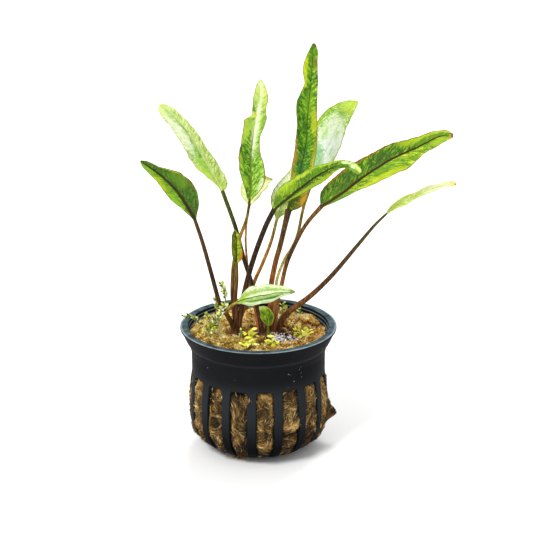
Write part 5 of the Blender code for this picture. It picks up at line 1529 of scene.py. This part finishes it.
# The near-white last tone of each weed ramp is a painted highlight on the small leaves that draw it.
moss_material = weed_finish("mossy sprig", tone(30, 52, 36), tone(110, 130, 34), tone(206, 212, 52),
                            tone(226, 232, 110), tone(255, 255, 248))
sprout_material = weed_finish("seedling leaves", tone(110, 128, 20), tone(206, 216, 44),
                              tone(252, 250, 76), tone(255, 255, 180))

# %% Sprigs: the stem's path, how far leaves reach from it at foot and tip, how many there are
SPRIGS = {
    "tall": ([(-18.4, -3.2, 42.6), (-16.1, -5.5, 46.2), (-14.2, -6.5, 49.3), (-12.4, -6.5, 53.1),
              (-11.4, -6.5, 56.7), (-12.6, -6.5, 62.8)], 2.2, 0.8, 250),
    "side": ([(-14.6, 1.5, 43.0), (-13.8, 0.8, 48.6), (-14.6, 0.5, 52.4), (-15.4, 0.5, 54.8)], 1.7, 0.7, 120),
    "hanging": ([(-17.0, 4.6, 42.8), (-17.4, 4.3, 45.4), (-18.7, 4.0, 47.6)], 1.1, 0.6, 46),
    "rim": ([(-20.4, 4.0, 42.8), (-22.4, 3.6, 46.2), (-24.6, 3.2, 46.9), (-26.6, 3.0, 46.9)], 1.0, 0.6, 60),
    "back": ([(7.8, 9.0, 43.2), (8.4, 9.6, 46.0), (8.6, 10.0, 49.4)], 1.2, 0.6, 36),
    "far_back": ([(14.6, 11.8, 43.0), (14.8, 12.0, 44.8), (14.8, 12.0, 46.4)], 0.8, 0.4, 24),
    "front": ([(-6.6, -8.6, 42.8), (-6.2, -8.6, 44.4), (-6.0, -8.6, 46.4)], 0.7, 0.4, 22),
}
# Larger single leaves, as broad_leaves takes them.
SPRIG_LEAVES = {"back": [(9.4, 9.2, 46.9, 75, 2.5, 1.3), (9.6, 9.2, 47.0, 110, 1.6, 0.8)],
                "far_back": [(14.6, 11.6, 45.6, 150, 1.4, 0.8)],
                "hanging": [(-18.0, 4.4, 44.6, 100, 1.8, 0.9)]}
for number, (name, (path, wide, narrow, count)) in enumerate(SPRIGS.items()):
    random = np.random.default_rng(60 + number)
    u = np.sort(random.uniform(0, 1, count))
    on_stem = curve_through(path, u)
    along = unit(np.gradient(curve_through(path, np.linspace(0, 1, 60)), axis=0))[(u * 59).astype(int)]
    outward = unit(np.cross(along, random.normal(size=(count, 3))))
    reach = (wide + (narrow - wide) * u)[:, None] * random.uniform(0.1, 1.0, (count, 1))
    foot = on_stem + outward * reach * 0.45
    heading = outward + along * random.uniform(0.2, 1.2, (count, 1)) + (0, 0, 0.3)
    length = random.uniform(0.8, 1.7, count) * (0.7 + 0.3 * wide / 2.0)
    roll = random.normal(0, 0.5, (count, 3)) + LEAF_ROLL
    leaves = tiny_leaves(foot, heading, length, length * 0.45, roll)
    stem = tubes(curve_through(path, np.linspace(0, 1, 16))[None], 0.16, 6)
    larger = SPRIG_LEAVES.get(name, [])
    leaf_tint = np.concatenate([random.beta(0.9, 0.8, count), np.full(len(larger), 0.66)])
    sprig = weed_piece("sprig_" + name, stem, leaves, larger, (0.25, leaf_tint), moss_material)
    if name != "front":
        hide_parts("weed_sprig_" + name)
print("sprigs:", list(SPRIGS))

# %% Seedlings
# Middle, spread, height and number of the small leaves; then the larger ones that are told apart.
SEEDLINGS = {
    "front_left": ((-2.6, -15.0), 2.6, 2.6, 24, [
        (-2.6, -15, 44.2, 205, 2.7, 1.5), (-2.6, -15, 44.3, -35, 2.8, 1.3), (-4.8, -14.6, 45.7, 8, 2.6, 0.9),
        (-2.9, -15.4, 43.6, 240, 1.8, 1.2), (-1.9, -15.2, 44, 60, 1.8, 1.0), (-1, -14.8, 43, 20, 1.6, 0.9),
        (-4.2, -15.2, 43.2, 160, 1.6, 0.8), (-2.0, -14.6, 43.0, 110, 2.4, 0.9)]),
    "front_middle": ((-2.8, -7.6), 2.0, 2.4, 12, [
        (-3.0, -8.0, 44.4, 70, 2.4, 1.3), (-2.4, -8.0, 46.3, 15, 2.2, 1.1), (-4.2, -8.0, 45.0, 175, 2.2, 1.0),
        (-3, -8.2, 43.4, 100, 2.4, 0.7), (-5.2, -8.2, 44.2, 30, 1.6, 0.7), (-1.2, -8, 44.2, -20, 1.8, 0.5)]),
    "front_right": ((4.6, -12.8), 1.6, 2.4, 12, [
        (2.9, -12.8, 45.6, 5, 2.9, 0.9), (2.6, -13.0, 44.4, -15, 2.2, 0.9), (5.2, -17.0, 42.9, 92, 2.0, 1.7),
        (3.4, -13.2, 43.6, 150, 1.6, 0.8), (4.8, -13.0, 43.6, 70, 2.0, 0.8)]),
    "right": ((15.8, -5.0), 2.8, 3.2, 26, [
        (15, -5.4, 44.4, -30, 2.8, 1.5), (14.4, -5, 45.2, 100, 2.0, 1.1), (13.6, -4.8, 45.0, 165, 1.8, 1.0),
        (15.6, -5.0, 45.4, 20, 1.8, 1.0), (16.8, -5.2, 43.6, 80, 2.2, 1.2), (18.0, -5.0, 44.0, 10, 1.6, 0.7),
        (14.6, -4.8, 43.2, 120, 1.9, 0.8), (15.6, -5.6, 43.0, 200, 1.8, 1.0)]),
}
for number, (name, ((x, y), spread, rise, count, larger)) in enumerate(SEEDLINGS.items()):
    random = np.random.default_rng(80 + number)
    root = np.array([x, y]) + random.normal(0, spread * 0.35, (count, 2))
    ground = wool_top(root[:, 0], root[:, 1])
    swing = random.uniform(0, 2 * math.pi, count)
    lean = np.column_stack([np.sin(swing), np.cos(swing)]) * random.uniform(0.2, 0.9, (count, 1))
    tall = random.uniform(0.3, 0.8, count) * rise
    t = np.linspace(0, 1, 5)[None, :, None]
    foot = np.column_stack([root, ground])[:, None]
    crest = foot + np.column_stack([lean, tall])[:, None]
    stems = foot * (1 - t) + crest * t
    stems = tubes(stems, 0.09, 4, (0.9, 0.3, 0.1))
    heading = np.column_stack([lean * 2.2, random.uniform(-0.6, 1.0, count)])
    length = random.uniform(0.8, 1.9, count)
    width = length * random.uniform(0.35, 0.6, count)
    roll = random.normal(0, 0.5, (count, 3)) + LEAF_ROLL
    leaves = tiny_leaves(crest[:, 0], heading, length, width, roll)
    # The right patch is in the leaves' shade and yet as bright as the others, so its tints are lighter.
    lighter = 0.1 if name == "right" else 0.0
    leaf_tint = np.clip(random.normal(0.58 + lighter, 0.3, count + len(larger)), 0, 1)
    leaf_tint[count:] = random.uniform(0.40 + lighter, 0.80, len(larger))
    patch = weed_piece("seedlings_" + name, stems, leaves, larger, (0.35, leaf_tint), sprout_material)
    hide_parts("weed_seedlings_" + name)
print("seedlings:", list(SEEDLINGS))
